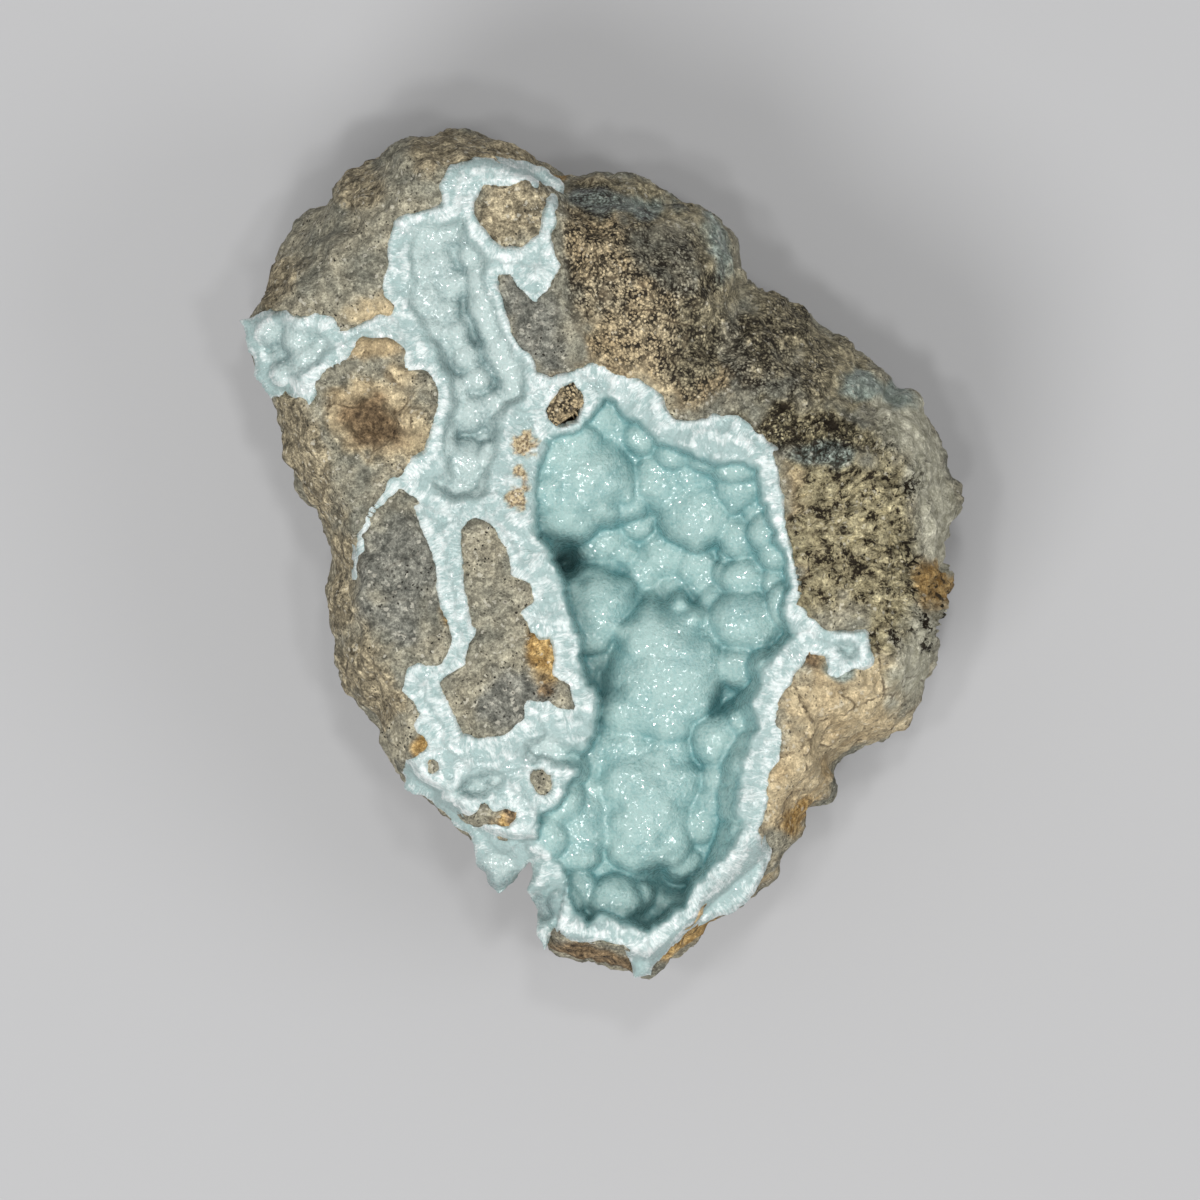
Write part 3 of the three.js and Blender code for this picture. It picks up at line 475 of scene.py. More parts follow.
def smooth_outline(points, count):
    """A closed outline through given points: cubic arcs whose slope at a point joins its two neighbours."""
    knot = np.array(points, float)
    turn = np.linspace(0, len(knot), count, endpoint=False)
    index = turn.astype(int)
    t = (turn - index)[:, None]
    before, here = knot[index - 1], knot[index]
    after, beyond = knot[(index + 1) % len(knot)], knot[(index + 2) % len(knot)]
    return 0.5 * (
        2 * here + (after - before) * t + (2 * before - 5 * here + 4 * after - beyond) * t**2
        + (3 * here - before - 3 * after + beyond) * t**3
    )


def at_bearing(values, bearing):
    """A value set at even bearings, eased between them."""
    table = np.array(values, float)
    turn = np.mod(bearing / (2 * np.pi), 1) * len(table)
    low = np.floor(turn).astype(int) % len(table)
    ease = ramp(turn - np.floor(turn), 0, 1)
    return table[low] * (1 - ease) + table[(low + 1) % len(table)] * ease


def reach_table(softness=0):
    """How far the silhouette lies from the hub at even bearings, evened out over a number of bearings either side."""
    line = smooth_outline(ROCK_OUTLINE, 6000) - np.array(HUB)
    bearing = np.mod(np.arctan2(line[:, 1], line[:, 0]), 2 * np.pi)
    order = np.argsort(bearing)
    even = np.linspace(0, 2 * np.pi, 2880, endpoint=False)
    reach = np.interp(even, bearing[order], np.hypot(line[:, 0], line[:, 1])[order], period=2 * np.pi)
    if softness:
        window = np.hanning(2 * softness + 1)
        window /= window.sum()
        wrapped = np.concatenate([reach[-softness:], reach, reach[:softness]])
        reach = np.convolve(wrapped, window, "valid")
    return even, reach


REACH = reach_table()
SOFT_REACH = reach_table(130)


def reach_at(bearing, table=None):
    """The silhouette's distance from the hub at any bearing."""
    even, reach = table or REACH
    return np.interp(bearing, even, reach, period=2 * np.pi)


def face_height(x, y):
    """Height of the rock over a place: level from the hub to the shoulder, then a quarter ellipse down to the girth.
    Also gives the share of the reach at which the place lies."""
    dx, dy = x - HUB[0], y - HUB[1]
    bearing = np.arctan2(dy, dx)
    share = np.hypot(dx, dy) / reach_at(bearing)
    shoulder = at_bearing(SHOULDER_SHARE, bearing)
    face = at_bearing(FACE_HEIGHT, bearing)
    level = HUB_HEIGHT + (face - HUB_HEIGHT) * np.clip(share / (1 - shoulder), 0, 1)
    lean = np.clip(1 - (1 - share) / shoulder, 0, 1)
    edge = GIRTH_HEIGHT + (face - GIRTH_HEIGHT) * np.sqrt(1 - lean**2)
    flat = share < 1 - shoulder
    return np.where(flat, level, edge) + bells(x, y, HILLS), share


def crust_level(x, y):
    """Height that the crust's broken edge keeps to: the rock's face, but never far below its level part."""
    bearing = np.arctan2(y - HUB[1], x - HUB[0])
    return np.maximum(face_height(x, y)[0], at_bearing(FACE_HEIGHT, bearing) - LEVEL_DROP)


def patch(name, x, y):
    """How strongly a patch of skin shows: 1 inside its ellipses, fading to 0 outside them, with a ragged edge."""
    ragged = PATCH_RAGGED * rough(np.stack([x, y], -1) / RAGGED_LENGTH, 41, 3)
    strongest = np.zeros(x.shape)
    for cx, cy, *shape in PATCHES[name]:
        strongest = np.maximum(strongest, ramp(ellipse_share(x - cx, y - cy, *shape) + ragged, 1.25, 0.6))
    return strongest


def flank_patch(name, points):
    """A patch of skin on the rock itself: as on the face, but down the flank it wanders to the side and fades out."""
    wander = 0.5 * np.maximum(WANDER_BELOW - points[:, 2], 0)
    x = points[:, 0] + wander * noise(points / 8, 131)
    y = points[:, 1] + wander * noise(points / 8, 133)
    return patch(name, x, y) * ramp(points[:, 2] + 7 * noise(points / 5, 135), *FLANK_FADE)


def crust_layout(x, y):
    """Where the crust is: distance in from its edge with the rock (positive in the crust), the place along that edge,
    and for every cavity the distance in from its mouth and the place along it. Edges are shaken to run unevenly."""
    place = np.stack([x, y], -1)
    wx = x + EDGE_SHAKE * rough(place / SHAKE_LENGTH, 3, 3)
    wy = y + EDGE_SHAKE * rough(place / SHAKE_LENGTH, 13, 3)
    inside, along = np.full(x.shape, -1e9), np.zeros(x.shape)
    for number, outline in enumerate(HOLLOWS):
        away, run = outline_distance(wx, wy, outline)
        along = np.where(away > inside, run + 500 * number, along)
        inside = np.maximum(inside, away)
    for number, outline in enumerate(ISLANDS):
        away, run = outline_distance(wx, wy, outline)
        along = np.where(-away < inside, run + 500 * number + 5000, along)
        inside = np.minimum(inside, -away)
    taper = ramp(line_distance(x, y, VEIN[-2:]), 0, 6)
    vein = VEIN_HALF_WIDTH * (0.5 + 0.5 * taper) - line_distance(wx, wy, VEIN)
    inside = np.maximum(inside, vein)
    mouths = [outline_distance(wx, wy, mouth) for mouth, _ in CAVITIES]
    return inside, along, np.stack([away for away, _ in mouths]), np.stack([run for _, run in mouths])


# The rock's shape
def vug_reach(bearing):
    """How far the great vug's mouth lies from the hub at each bearing: the first place along the ray outside it."""
    step = np.arange(2, 50, 0.25)
    x = HUB[0] + np.cos(bearing)[:, None] * step
    y = HUB[1] + np.sin(bearing)[:, None] * step
    away, _ = outline_distance(x, y, CAVITIES[0][0])
    first = step[np.argmax(away < -0.5, axis=1)]
    around = np.stack([np.roll(first, k) for k in range(-4, 5)])
    return around.min(0) - 1.2


def rock_sections(settings):
    """The rock without its grain, as rows of rings. A section runs level from the vug's mouth to the shoulder, down a
    quarter ellipse to the girth, and in along another to the edge of the flat back; rows are shared out by length.
    Also gives each row's share of the way, and how far round the lower ellipse a place lies."""
    bearing = np.linspace(0, 2 * np.pi, settings.columns, endpoint=False)
    reach, soft = reach_at(bearing), reach_at(bearing, SOFT_REACH)
    shoulder = at_bearing(SHOULDER_SHARE, bearing)
    face = at_bearing(FACE_HEIGHT, bearing)
    inner = np.minimum(vug_reach(bearing) / reach, 0.9 * (1 - shoulder))
    level = (1 - shoulder - inner) * reach
    fall = np.pi / 2 * np.sqrt(((shoulder * reach) ** 2 + (face - GIRTH_HEIGHT) ** 2) / 2)
    under = 0.45 * np.pi / 2 * np.sqrt((((1 - BASE_SHARE) * reach) ** 2 + GIRTH_HEIGHT**2) / 2)
    total = level + fall + under
    t = np.linspace(0, 1, settings.rows)[:, None]
    first, second = level / total, (level + fall) / total
    on_face = np.clip(t / first, 0, 1)
    on_shoulder = np.clip((t - first) / (second - first), 0, 1) * np.pi / 2
    on_flank = np.clip((t - second) / (1 - second), 0, 1) * np.pi / 2
    share = inner + (1 - shoulder - inner) * on_face + shoulder * np.sin(on_shoulder)
    share = share - (1 - BASE_SHARE) * (1 - np.cos(on_flank))
    even = 1 + (soft / reach - 1) * ramp(on_flank, 0.2, 1.3)
    x = HUB[0] + share * even * reach * np.cos(bearing)
    y = HUB[1] + share * even * reach * np.sin(bearing)
    flat = HUB_HEIGHT + (face - HUB_HEIGHT) * np.clip(share / (1 - shoulder), 0, 1)
    z = np.where(on_shoulder > 0, GIRTH_HEIGHT + (face - GIRTH_HEIGHT) * np.cos(on_shoulder), flat)
    z = np.where(on_flank > 0, GIRTH_HEIGHT * (1 - np.sin(on_flank)), z)
    z = z + np.where(on_flank > 0, 0, bells(x, y, HILLS) * ramp(on_shoulder, 1.5, 1.0))
    return np.stack([x, y, z], -1), t, on_flank


def rock_rings(settings):
    """The rock's points as rows of rings: the sections roughened along their normals, and sunk under the crust."""
    smooth, row, on_flank = rock_sections(settings)
    x, y = smooth[..., 0], smooth[..., 1]
    normal = np.cross(np.gradient(smooth, axis=0), np.roll(smooth, -1, 1) - np.roll(smooth, 1, 1))
    normal /= np.linalg.norm(normal, axis=-1, keepdims=True) + 1e-9
    swell = settings.swell * rough(smooth / SWELL_LENGTH, 21, 3) + GRAIN_HEIGHT * rough(smooth / GRAIN_LENGTH, 31, 4)
    near, gap, _ = grains(smooth / CRUMB_LENGTH + 0.35 * noise(smooth / 0.9, 52)[..., None], 51)
    swell = swell + settings.crumble * patch("crumb", x, y) * (ramp(gap - near, 0, 0.5) - 0.6)
    near, gap, _ = grains(smooth / VELVET_LENGTH, 61)
    swell = swell + VELVET_HEIGHT * patch("velvet", x, y) * (ramp(gap - near, 0, 0.5) - 0.5)
    rings = smooth + normal * (swell * ramp(row, 1.0, 0.93))[..., None]

    inside, _, mouths, _ = crust_layout(x, y)
    seats = VUG_SEAT, CHANNEL_SEAT, crust_level(x, y) - POCKET_SEAT
    deep = np.choose(np.minimum(mouths.argmax(0), 2), seats)
    bottom = np.where(mouths.max(0) > -0.6, deep, rings[..., 2] - EDGE_SEAT * ramp(inside, -0.15, 0.6))
    rings[..., 2] = np.where(on_flank <= 0, np.minimum(bottom, rings[..., 2]), rings[..., 2])
    rings[-1, :, 2] = 0
    rings[..., 2] = np.maximum(rings[..., 2], 0)
    return rings


def closed_rings(rings):
    """Points and faces of a closed shell: the rings joined by quads, and each end closed by a fan round its middle."""
    rows, columns, _ = rings.shape
    ring = np.arange(columns)
    after = np.roll(ring, -1)
    start = (np.arange(rows - 1) * columns)[:, None]
    quads = np.stack([start + ring, start + columns + ring, start + columns + after, start + after], -1)
    last, middle = (rows - 1) * columns, np.full(columns, rows * columns)
    first_fan = np.stack([middle, ring, after], -1)
    last_fan = np.stack([middle + 1, last + after, last + ring], -1)
    points = np.concatenate([rings.reshape(-1, 3), rings[:1].mean(1), rings[-1:].mean(1)])
    return points, quads.reshape(-1, 4).tolist() + first_fan.tolist() + last_fan.tolist()


# The crust's shape
def smooth_max(a, b, width):
    """The higher of two heights, with the crease between them filled over a width."""
    overlap = np.maximum(width - np.abs(a - b), 0) / width
    return np.maximum(a, b) + overlap**2 * width / 4


def dome(q):
    """How far a unit lump falls away at a distance from its crown: a sphere, then a steep skirt near its widest."""
    turn = 0.965
    slope = turn / math.sqrt(1 - turn**2)
    ball = 1 - np.sqrt(1 - np.clip(q, 0, turn) ** 2)
    return ball + slope * np.maximum(q - turn, 0)


def add_lumps(height, x, y, lumps, crowns, width):
    """The lumps joined to the height of the crust, each over the part of the grid that it reaches."""
    for (cx, cy, half_x, half_y, turn, _), crown in zip(lumps, crowns):
        across = 2.2 * max(half_x, half_y) + 1
        i = slice(*np.searchsorted(x[0], (cx - across, cx + across)))
        j = slice(*np.searchsorted(y[:, 0], (cy - across, cy + across)))
        shake = 0.10 * noise(np.stack([x[j, i], y[j, i]], -1) / 1.6, 71)
        q = ellipse_share(x[j, i] - cx, y[j, i] - cy, half_x, half_y, turn) + shake
        ball = crown - min(half_x, half_y) * dome(np.maximum(q, 0))
        height[j, i] = smooth_max(height[j, i], ball, width * min(half_x, half_y))
    return height


def uneven_steps(start, near, far, end, step):
    """Places along a line: one step apart in its middle part, and one and a half steps before and after it."""
    return np.concatenate([
        np.arange(start, near, 1.5 * step), np.arange(near, far, step), np.arange(far, end, 1.5 * step)])


def cavity_shape(x, y, mouths, runs):
    """The cavities before their lumps: how deep a place lies under the face, how open it is, and whether it is well
    inside. Past a mouth with round lobes the surface turns over a lip and falls as a wall to the floor."""
    floor = floor_depth(x, y)
    depth, open_here, within = np.zeros((3, *x.shape))
    for number, ((_, slope), mouth, run) in enumerate(zip(CAVITIES, mouths, runs)):
        lobe, _, size = grains(np.stack([run / LOBE_LENGTH, np.full_like(run, 0.5)], -1), 81 + number)
        bulge = np.sqrt(np.maximum(1 - (lobe / 0.75) ** 2, 0)) * (0.4 + 0.6 * size)
        inward = mouth + LOBE_OFFSET - LOBE_REACH * bulge
        lip = SMALL_LIP if number else VUG_LIP
        if number == 0:
            # the vug's lower right wall leans back
            slope = slope * (1 - 0.91 * ramp(x - y, 21, 30) * ramp(x, 8, 12))
        round_over = lip - np.sqrt(np.maximum(lip**2 - np.clip(inward, 0, lip * 0.95) ** 2, 0))
        wall = round_over + slope * np.maximum(inward - lip * 0.95, 0)
        depth = np.maximum(depth, np.where(inward > 0, -smooth_max(-wall, -floor, 1.2), 0))
        open_here = np.maximum(open_here, ramp(inward, 0.1, 1.0))
        within = np.maximum(within, ramp(inward, 0.95, 1.4))
    return depth, open_here, within


def lumpy_height(x, y, flat, base, mouths):
    """The cavities with their lumps: small ones drawn at random on the base, then the listed ones, whose crowns lie
    a set way under the face."""
    small = fillers(x, y, mouths)
    crowns = height_at(base, x, y, small) + 0.55 * np.array([lump[2] for lump in small])
    crowns = np.minimum(crowns, height_at(flat, x, y, small) - 0.4)
    height = add_lumps(base.copy(), x, y, small, crowns, SMALL_JOIN)
    crowns = height_at(flat, x, y, LUMPS) - [lump[5] for lump in LUMPS]
    return add_lumps(height, x, y, LUMPS, crowns, LUMP_JOIN)


def fine_relief(x, y, inside, along, band, stand):
    """Small bumps on the lumps, in cells of three sizes, and the fibrous steps of the broken edge."""
    place = np.stack([x, y], -1)
    bumps = LUMP_BUMP * (1 - band) + EDGE_BUMP * band * ramp(inside, 0.4, 1.8)
    relief = bumps * (0.5 - grains(place / BUMP_LENGTH, 89)[0])
    relief += (1 - band) * KNOB_HEIGHT * (0.55 - grains(place / KNOB_LENGTH, 91)[0])
    relief += (1 - 0.7 * band) * SUGAR_HEIGHT * (0.55 - grains(place / SUGAR_LENGTH, 95)[0])
    ribs, _, lift = grains(np.stack([along / 0.55, inside / 2.5], -1), 101)
    steps = 0.12 * (lift - 0.5) + 0.10 * (0.5 - ribs) + 0.12 * rough(place / 1.4, 111, 3)
    return relief + band * (stand + steps)


def corners(grid):
    """The values at the four corners of every cell of a grid, anticlockwise."""
    return grid[:-1, :-1], grid[:-1, 1:], grid[1:, 1:], grid[1:, :-1]


def round_about(grid):
    """A grid, and the same grid moved by one place to each of its eight sides."""
    return np.stack([np.roll(grid, shift, (0, 1)) for shift in itertools.product((-1, 0, 1), repeat=2)])


def trimmed_grid(x, y, edge, reach):
    """The cells that lie in the crust, the points they use, and every point's place: one just past the edge is pulled
    back onto it, down the slope of its distance."""
    slope_y, slope_x = np.gradient(edge, y[:, 0], x[0])
    steep = np.maximum(np.hypot(slope_x, slope_y), 0.3)
    inner = edge > 0
    near = round_about(inner).any(0) & (edge > -reach)
    cells = largest_part(np.all(corners(near), 0) & np.any(corners(inner), 0))
    used = np.zeros_like(inner)
    for corner in corners(used):
        corner |= cells
    pull = np.where(inner, 0, -edge)
    return cells, used, x + pull * slope_x / steep, y + pull * slope_y / steep


def two_sided_faces(cells, used):
    """Faces of a closed sheet: the cells, the same turned over underneath, and a skirt along the sides met once."""
    count = int(used.sum())
    number = np.full(used.shape, -1)
    number[used] = np.arange(count)
    quads = np.stack([corner[cells] for corner in corners(number)], -1)
    sides = np.concatenate([quads[:, (k, (k + 1) % 4)] for k in range(4)])
    key = sides.min(1).astype(np.int64) * count + sides.max(1)
    _, where, met = np.unique(key, return_index=True, return_counts=True)
    start, end = sides[where[met == 1]].T
    skirt = np.stack([end, start, start + count, end + count], -1)
    return np.concatenate([quads, quads[:, ::-1] + count, skirt]).tolist()


def crust_piece(settings):
    """The crust's mesh and what its material reads. Over the broken edge the height follows the rock's face, and in
    the cavities it follows their lumps; the underside lies a little way below."""
    step = settings.spacing
    x, y = np.meshgrid(uneven_steps(*GRID_X, step), uneven_steps(*GRID_Y, step))
    _, share = face_height(x, y)
    flat = crust_level(x, y)
    inside, along, mouths, runs = crust_layout(x, y)
    held = np.maximum(ramp(share, 0.985, 0.955), fixed_edge(x, y))

    depth, open_here, within = cavity_shape(x, y, mouths, runs)
    dip = bells(x, y, DIPS)
    band = 1 - np.maximum(open_here, ramp(dip, 0.8, 2.2))
    height = lumpy_height(x, y, flat, flat - depth - dip, mouths)
    height = height + fine_relief(x, y, inside, along, band, settings.stand)
    height = height - held * 2.4 * np.maximum(-inside, 0)
    rim = np.clip(RIM_RADIUS - inside, 0, RIM_RADIUS) * (1 - held)
    height = height - (RIM_RADIUS - np.sqrt(np.maximum(RIM_RADIUS**2 - rim**2, 0)))
    under = round_about(height).min(0) - CRUST_THICKNESS
    under = np.where(held < 0.5, np.minimum(under, flat - FREE_THICKNESS), under)

    cells, used, px, py = trimmed_grid(x, y, inside + 0.55 * held, 1.5 * step)
    points = np.concatenate([np.stack([px[used], py[used], z[used]], -1) for z in (height, under)])
    piece = shell_mesh("crust", points, two_sided_faces(cells, used))
    rise_y, rise_x = np.gradient(blurred(height, 2), y[:, 0], x[0])
    marks = {
        "band": band,
        # how deep a place lies under the face, painted darker deep in the vug as painted shade
        "depth": np.maximum(flat - height, 0),
        "along": along,
        "across": inside,
        "stain": crust_stain(x, y, band),
        # how far the surface faces up, painted paler there as painted light
        "crown": 1 / np.sqrt(1 + rise_x**2 + rise_y**2),
        "pallor": pallor(x, y),
        # how far a place lies under its surroundings: painted shade in hollows, painted light on rises
        "hollow": hollowness(height, within) + hollowness(height, band * ramp(inside, 0.2, 0.6)),
    }
    return piece, {name: np.tile(values[used], 2) for name, values in marks.items()}


def fixed_edge(x, y):
    """1 at the bearings where the crust ends against rock, 0 at the two where its edge hangs free."""
    bearing = np.degrees(np.arctan2(y - HUB[1], x - HUB[0])) % 360
    return 1 - np.maximum(*(ramp(bearing, a, b) * ramp(bearing, d, c) for a, b, c, d in FREE_EDGES))


def pallor(x, y):
    """How much whiter the crust is than in the great vug: 0 in the vug, 1 in the channel, the pocket and the veins."""
    return ramp(outline_distance(x, y, CAVITIES[0][0])[0], 1.0, -3.0)


def floor_depth(x, y):
    """How far the floor between the lumps lies under the face: the lumps' own depths, a little lower, each weighing
    more the nearer it is for its size; and the pits, a bell curve for each."""
    total, weight = np.zeros(x.shape), np.zeros(x.shape)
    for cx, cy, rx, ry, _, crown in LUMPS:
        share = (np.hypot((x - cx) / rx, (y - cy) / ry) + 0.2) ** -5
        total += share * (crown + (VUG_FLOOR if cx > VUG_LEFT else SIDE_FLOOR) * min(rx, ry))
        weight += share
    return total / weight + bells(x, y, PITS)


def fillers(x, y, mouths):
    """Lumps between the listed ones: places are drawn in every cavity, the greatest lumps first, and a lump is
    kept where it doesn't crowd one that is there already."""
    draw = np.random.default_rng(5)
    there = [(lump[0], lump[1], min(lump[2:4])) for lump in LUMPS] + [(cx, cy, r) for cx, cy, r, _ in PITS]
    made = []
    for (line, _), mouth, (count, low, high) in zip(CAVITIES, mouths, FILLERS):
        spots = draw.uniform(np.min(line, 0), np.max(line, 0), (count, 2))
        sizes = np.sort(draw.uniform(low, high, count))[::-1]
        within = height_at(mouth, x, y, spots)
        for (px, py), size, inward in zip(spots, sizes, within):
            if inward > -0.2 and all(math.hypot(px - qx, py - qy) > 0.6 * (size + r) for qx, qy, r in there):
                there.append((px, py, size))
                made.append((px, py, size, size * draw.uniform(0.8, 1.2), draw.uniform(0, 180), 0))
    return made


def height_at(height, x, y, lumps):
    """The grid's height under the middle of each lump."""
    return np.array([height[np.searchsorted(y[:, 0], lump[1]), np.searchsorted(x[0], lump[0])] for lump in lumps])


def hollowness(height, within):
    """How far a place lies under the mean height of the places round it, counting only those inside the cavities."""
    around = blurred(height * within, 36) / np.maximum(blurred(within, 36), 0.01)
    return (around - height) * within


def blurred(height, rounds):
    """A height evened out with its four neighbours, a number of times."""
    for _ in range(rounds):
        height = (4 * height + sum(np.roll(height, k, axis) for k in (-1, 1) for axis in (0, 1))) / 8
    return height


def largest_part(cells):
    """The cells that hang together with those in a strip across the middle: the mark spreads to its neighbours, sixty
    times between two counts, until it stops growing."""
    part = np.zeros_like(cells)
    strip = slice(cells.shape[0] // 2 - 40, cells.shape[0] // 2)
    part[strip] = cells[strip]
    grown = -1
    while part.sum() != grown:
        grown = part.sum()
        for _ in range(60):
            wide = part.copy()
            wide[1:] |= part[:-1]
            wide[:-1] |= part[1:]
            wide[:, 1:] |= part[:, :-1]
            wide[:, :-1] |= part[:, 1:]
            part = wide & cells
    return part


def crust_stain(x, y, band):
    """Tan rock that shows through the broad broken edge in a few small spots."""
    ragged = 0.5 * rough(np.stack([x, y], -1) / 0.9, 121, 3)
    shown = sum(ramp(np.hypot(x - cx, y - cy) / r + ragged, 1.2, 0.7) for cx, cy, r in STAINS)
    return np.clip(shown, 0, 1) * band


# Meshes, node trees and materials
def shell_mesh(name, points, faces):
    """A mesh object at the origin, smooth shaded, from points in millimetres and faces of three or four corners."""
    mesh = bpy.data.meshes.new(name)
    mesh.from_pydata(points * MM, [], faces)
    mesh.polygons.foreach_set("use_smooth", np.ones(len(mesh.polygons), bool))
    mesh.update()
    mesh.validate()
    piece = bpy.data.objects.new(name, mesh)
    bpy.context.scene.collection.objects.link(piece)
    return piece


def keep(piece, name, values):
    """Stores one number for every point of a piece, for its material to read."""
    layer = piece.data.attributes.new(name, "FLOAT", "POINT")
    layer.data.foreach_set("value", np.ascontiguousarray(values, np.float32))


def put(tree, kind, inputs=None, **settings):
    """One node: its settings, then its inputs, each a value or another node's output."""
    made = tree.nodes.new(kind)
    for key, value in settings.items():
        setattr(made, key, value)
    for key, value in (inputs or {}).items():
        if isinstance(value, bpy.types.NodeSocket):
            tree.links.new(value, made.inputs[key])
        else:
            made.inputs[key].default_value = value
    return made


def sums(tree, operation, a, b=0.0, clamp=False):
    """One sum of two numbers."""
    return put(tree, "ShaderNodeMath", {0: a, 1: b}, operation=operation, use_clamp=clamp).outputs[0]


def times(tree, a, b):
    """Two numbers multiplied."""
    return sums(tree, "MULTIPLY", a, b)


def plus(tree, a, b, clamp=False):
    """Two numbers added."""
    return sums(tree, "ADD", a, b, clamp)


def vectors(tree, operation, *values):
    """One sum of vectors."""
    return put(tree, "ShaderNodeVectorMath", dict(enumerate(values)), operation=operation).outputs[0]


def scaled(tree, vector, factor):
    """A vector made longer by a factor."""
    return put(tree, "ShaderNodeVectorMath", {0: vector, 3: factor}, operation="SCALE").outputs[0]


def blend(tree, share, a, b, way="MIX"):
    """Two colours mixed by a share."""
    made = put(tree, "ShaderNodeMix", {0: share, 6: a, 7: b}, data_type="RGBA", blend_type=way)
    return made.outputs[2]


def spread(tree, value, low, high, to_low=0.0, to_high=1.0):
    """A number carried from one range to another, and held at its ends."""
    made = put(tree, "ShaderNodeMapRange", {0: value, 1: low, 2: high, 3: to_low, 4: to_high})
    return made.outputs[0]


def stored(tree, name):
    """A number kept on the piece's points."""
    return put(tree, "ShaderNodeAttribute", attribute_name=name).outputs["Fac"]


def speckle(tree, place, scale, detail=3.0, roughness=0.6):
    """Noise at so many lumps to the millimetre."""
    inputs = {"Vector": place, "Scale": scale, "Detail": detail, "Roughness": roughness}
    return put(tree, "ShaderNodeTexNoise", inputs).outputs["Fac"]


def crystals(tree, place, scale, feature="F1"):
    """Cells at so many to the millimetre."""
    return put(tree, "ShaderNodeTexVoronoi", {"Vector": place, "Scale": scale}, feature=feature)


def material_in_mm(name):
    """A new node material with its shader, and the piece's own coordinates in millimetres."""
    material = bpy.data.materials.new(name)
    material.use_nodes = True
    tree = material.node_tree
    shader = tree.nodes["Principled BSDF"]
    place = put(tree, "ShaderNodeTexCoord").outputs["Object"]
    return material, tree, shader, scaled(tree, place, 1 / MM)


def linear(colour):
    """An sRGB colour from 0 to 255 as the linear values that a shader takes."""
    share = np.array(colour, float) / 255
    return (*np.where(share <= 0.04045, share / 12.92, ((share + 0.055) / 1.055) ** 2.4), 1.0)


def rock_material():
    """Weathered rock: grains of many tones with painted shade in the pits and the gaps between them, coloured by the
    skin's patches.
    """
    material, tree, shader, place = material_in_mm("weathered_rock")
    patches = {name: stored(tree, name) for name in PATCHES}
    broad = speckle(tree, place, 0.22, 2, 0.6)
    tone = speckle(tree, place, 0.9, 4, 0.74)
    fine = speckle(tree, place, 4.5, 2, 0.7)
    crumbs = speckle(tree, place, 0.6, 4, 0.78)
    noises = {"broad": broad, "tone": tone, "crumbs": crumbs}
    shaken = put(tree, "ShaderNodeTexNoise", {"Vector": place, "Scale": 3.0, "Detail": 1}).outputs["Color"]
    shaken = vectors(tree, "MULTIPLY_ADD", shaken, (0.35, 0.35, 0.35), place)
    grain = crystals(tree, shaken, 3.0)
    cell = put(tree, "ShaderNodeSeparateColor", {0: grain.outputs["Color"]}).outputs
    away = grain.outputs["Distance"]
    seam = crystals(tree, shaken, 0.17, "DISTANCE_TO_EDGE").outputs["Distance"]

    def tones(noise_name, dark, pale):
        return blend(tree, spread(tree, noises[noise_name], *MIDDLE), linear(dark), linear(pale))

    colour = tones(*PLAIN_ROCK)
    for name, skin in ROCK_SKINS.items():
        colour = blend(tree, patches[name], colour, tones(*skin))

    # Light and dark grains, less so on the even patches
    even = times(tree, spread(tree, patches["tan"], 0, 1, 1, 0.7), spread(tree, patches["pale"], 0, 1, 1, 0.4))
    shine = times(tree, spread(tree, tone, *MIDDLE, 0.58, 1.42), spread(tree, fine, *MIDDLE, 0.72, 1.3))
    shine = times(tree, shine, spread(tree, cell[0], 0, 1, 0.72, 1.28))
    shine = put(tree, "ShaderNodeCombineColor", {0: shine, 1: shine, 2: shine}).outputs[0]
    colour = blend(tree, even, colour, blend(tree, 1.0, colour, shine, "MULTIPLY"))

    # Pale chips; painted shade in the gaps between grains, in small pits and in the crevices between crumbs; and dark
    # cracks
    chip = sums(tree, "SUBTRACT", even, patches["umber"], clamp=True)
    chip = times(tree, spread(tree, cell[1], 0.94, 0.97, 0, 0.4), chip)
    gap = times(tree, spread(tree, away, 0.32, 0.52), spread(tree, tone, 0.66, 0.44, 0.3, 1.0))
    gap = times(tree, gap, spread(tree, patches["velvet"], 0, 1, 0.12, 1.0))
    pit_shade = times(tree, spread(tree, cell[2], 0.2, 0.16), spread(tree, broad, 0.35, 0.6, 0.35, 1.0))
    pit_shade = times(tree, times(tree, pit_shade, spread(tree, away, 0.42, 0.28)), even)
    crack = times(tree, spread(tree, seam, 0.035, 0.012), spread(tree, tone, 0.42, 0.58, 0.0, 0.8))
    cracked = plus(tree, spread(tree, patches["brown"], 0, 1, 0.3, 0.7), patches["tan"], clamp=True)
    crack = times(tree, crack, cracked)
    crevice_shade = times(tree, spread(tree, crumbs, 0.47, 0.41), patches["crumb"])
    for share, tint in (
        (chip, CHIP_COLOUR), (gap, GAP_SHADE_COLOUR), (pit_shade, PIT_SHADE_COLOUR), (crack, CRACK_COLOUR),
        (crevice_shade, CREVICE_SHADE_COLOUR),
    ):
        colour = blend(tree, share, colour, linear(tint))
    tree.links.new(colour, shader.inputs["Base Color"])

    gloss = spread(tree, patches["glassy"], 0, 1, 0.85, 0.4)
    tree.links.new(gloss, shader.inputs["Roughness"])
    height = plus(tree, tone, times(tree, crumbs, spread(tree, patches["crumb"], 0, 1, 0.2, 1.6)))
    bump = put(tree, "ShaderNodeBump", {"Strength": 0.9, "Distance": 0.00045, "Height": height})
    tree.links.new(bump.outputs[0], shader.inputs["Normal"])
    shader.inputs["Specular IOR Level"].default_value = 0.25
    return material


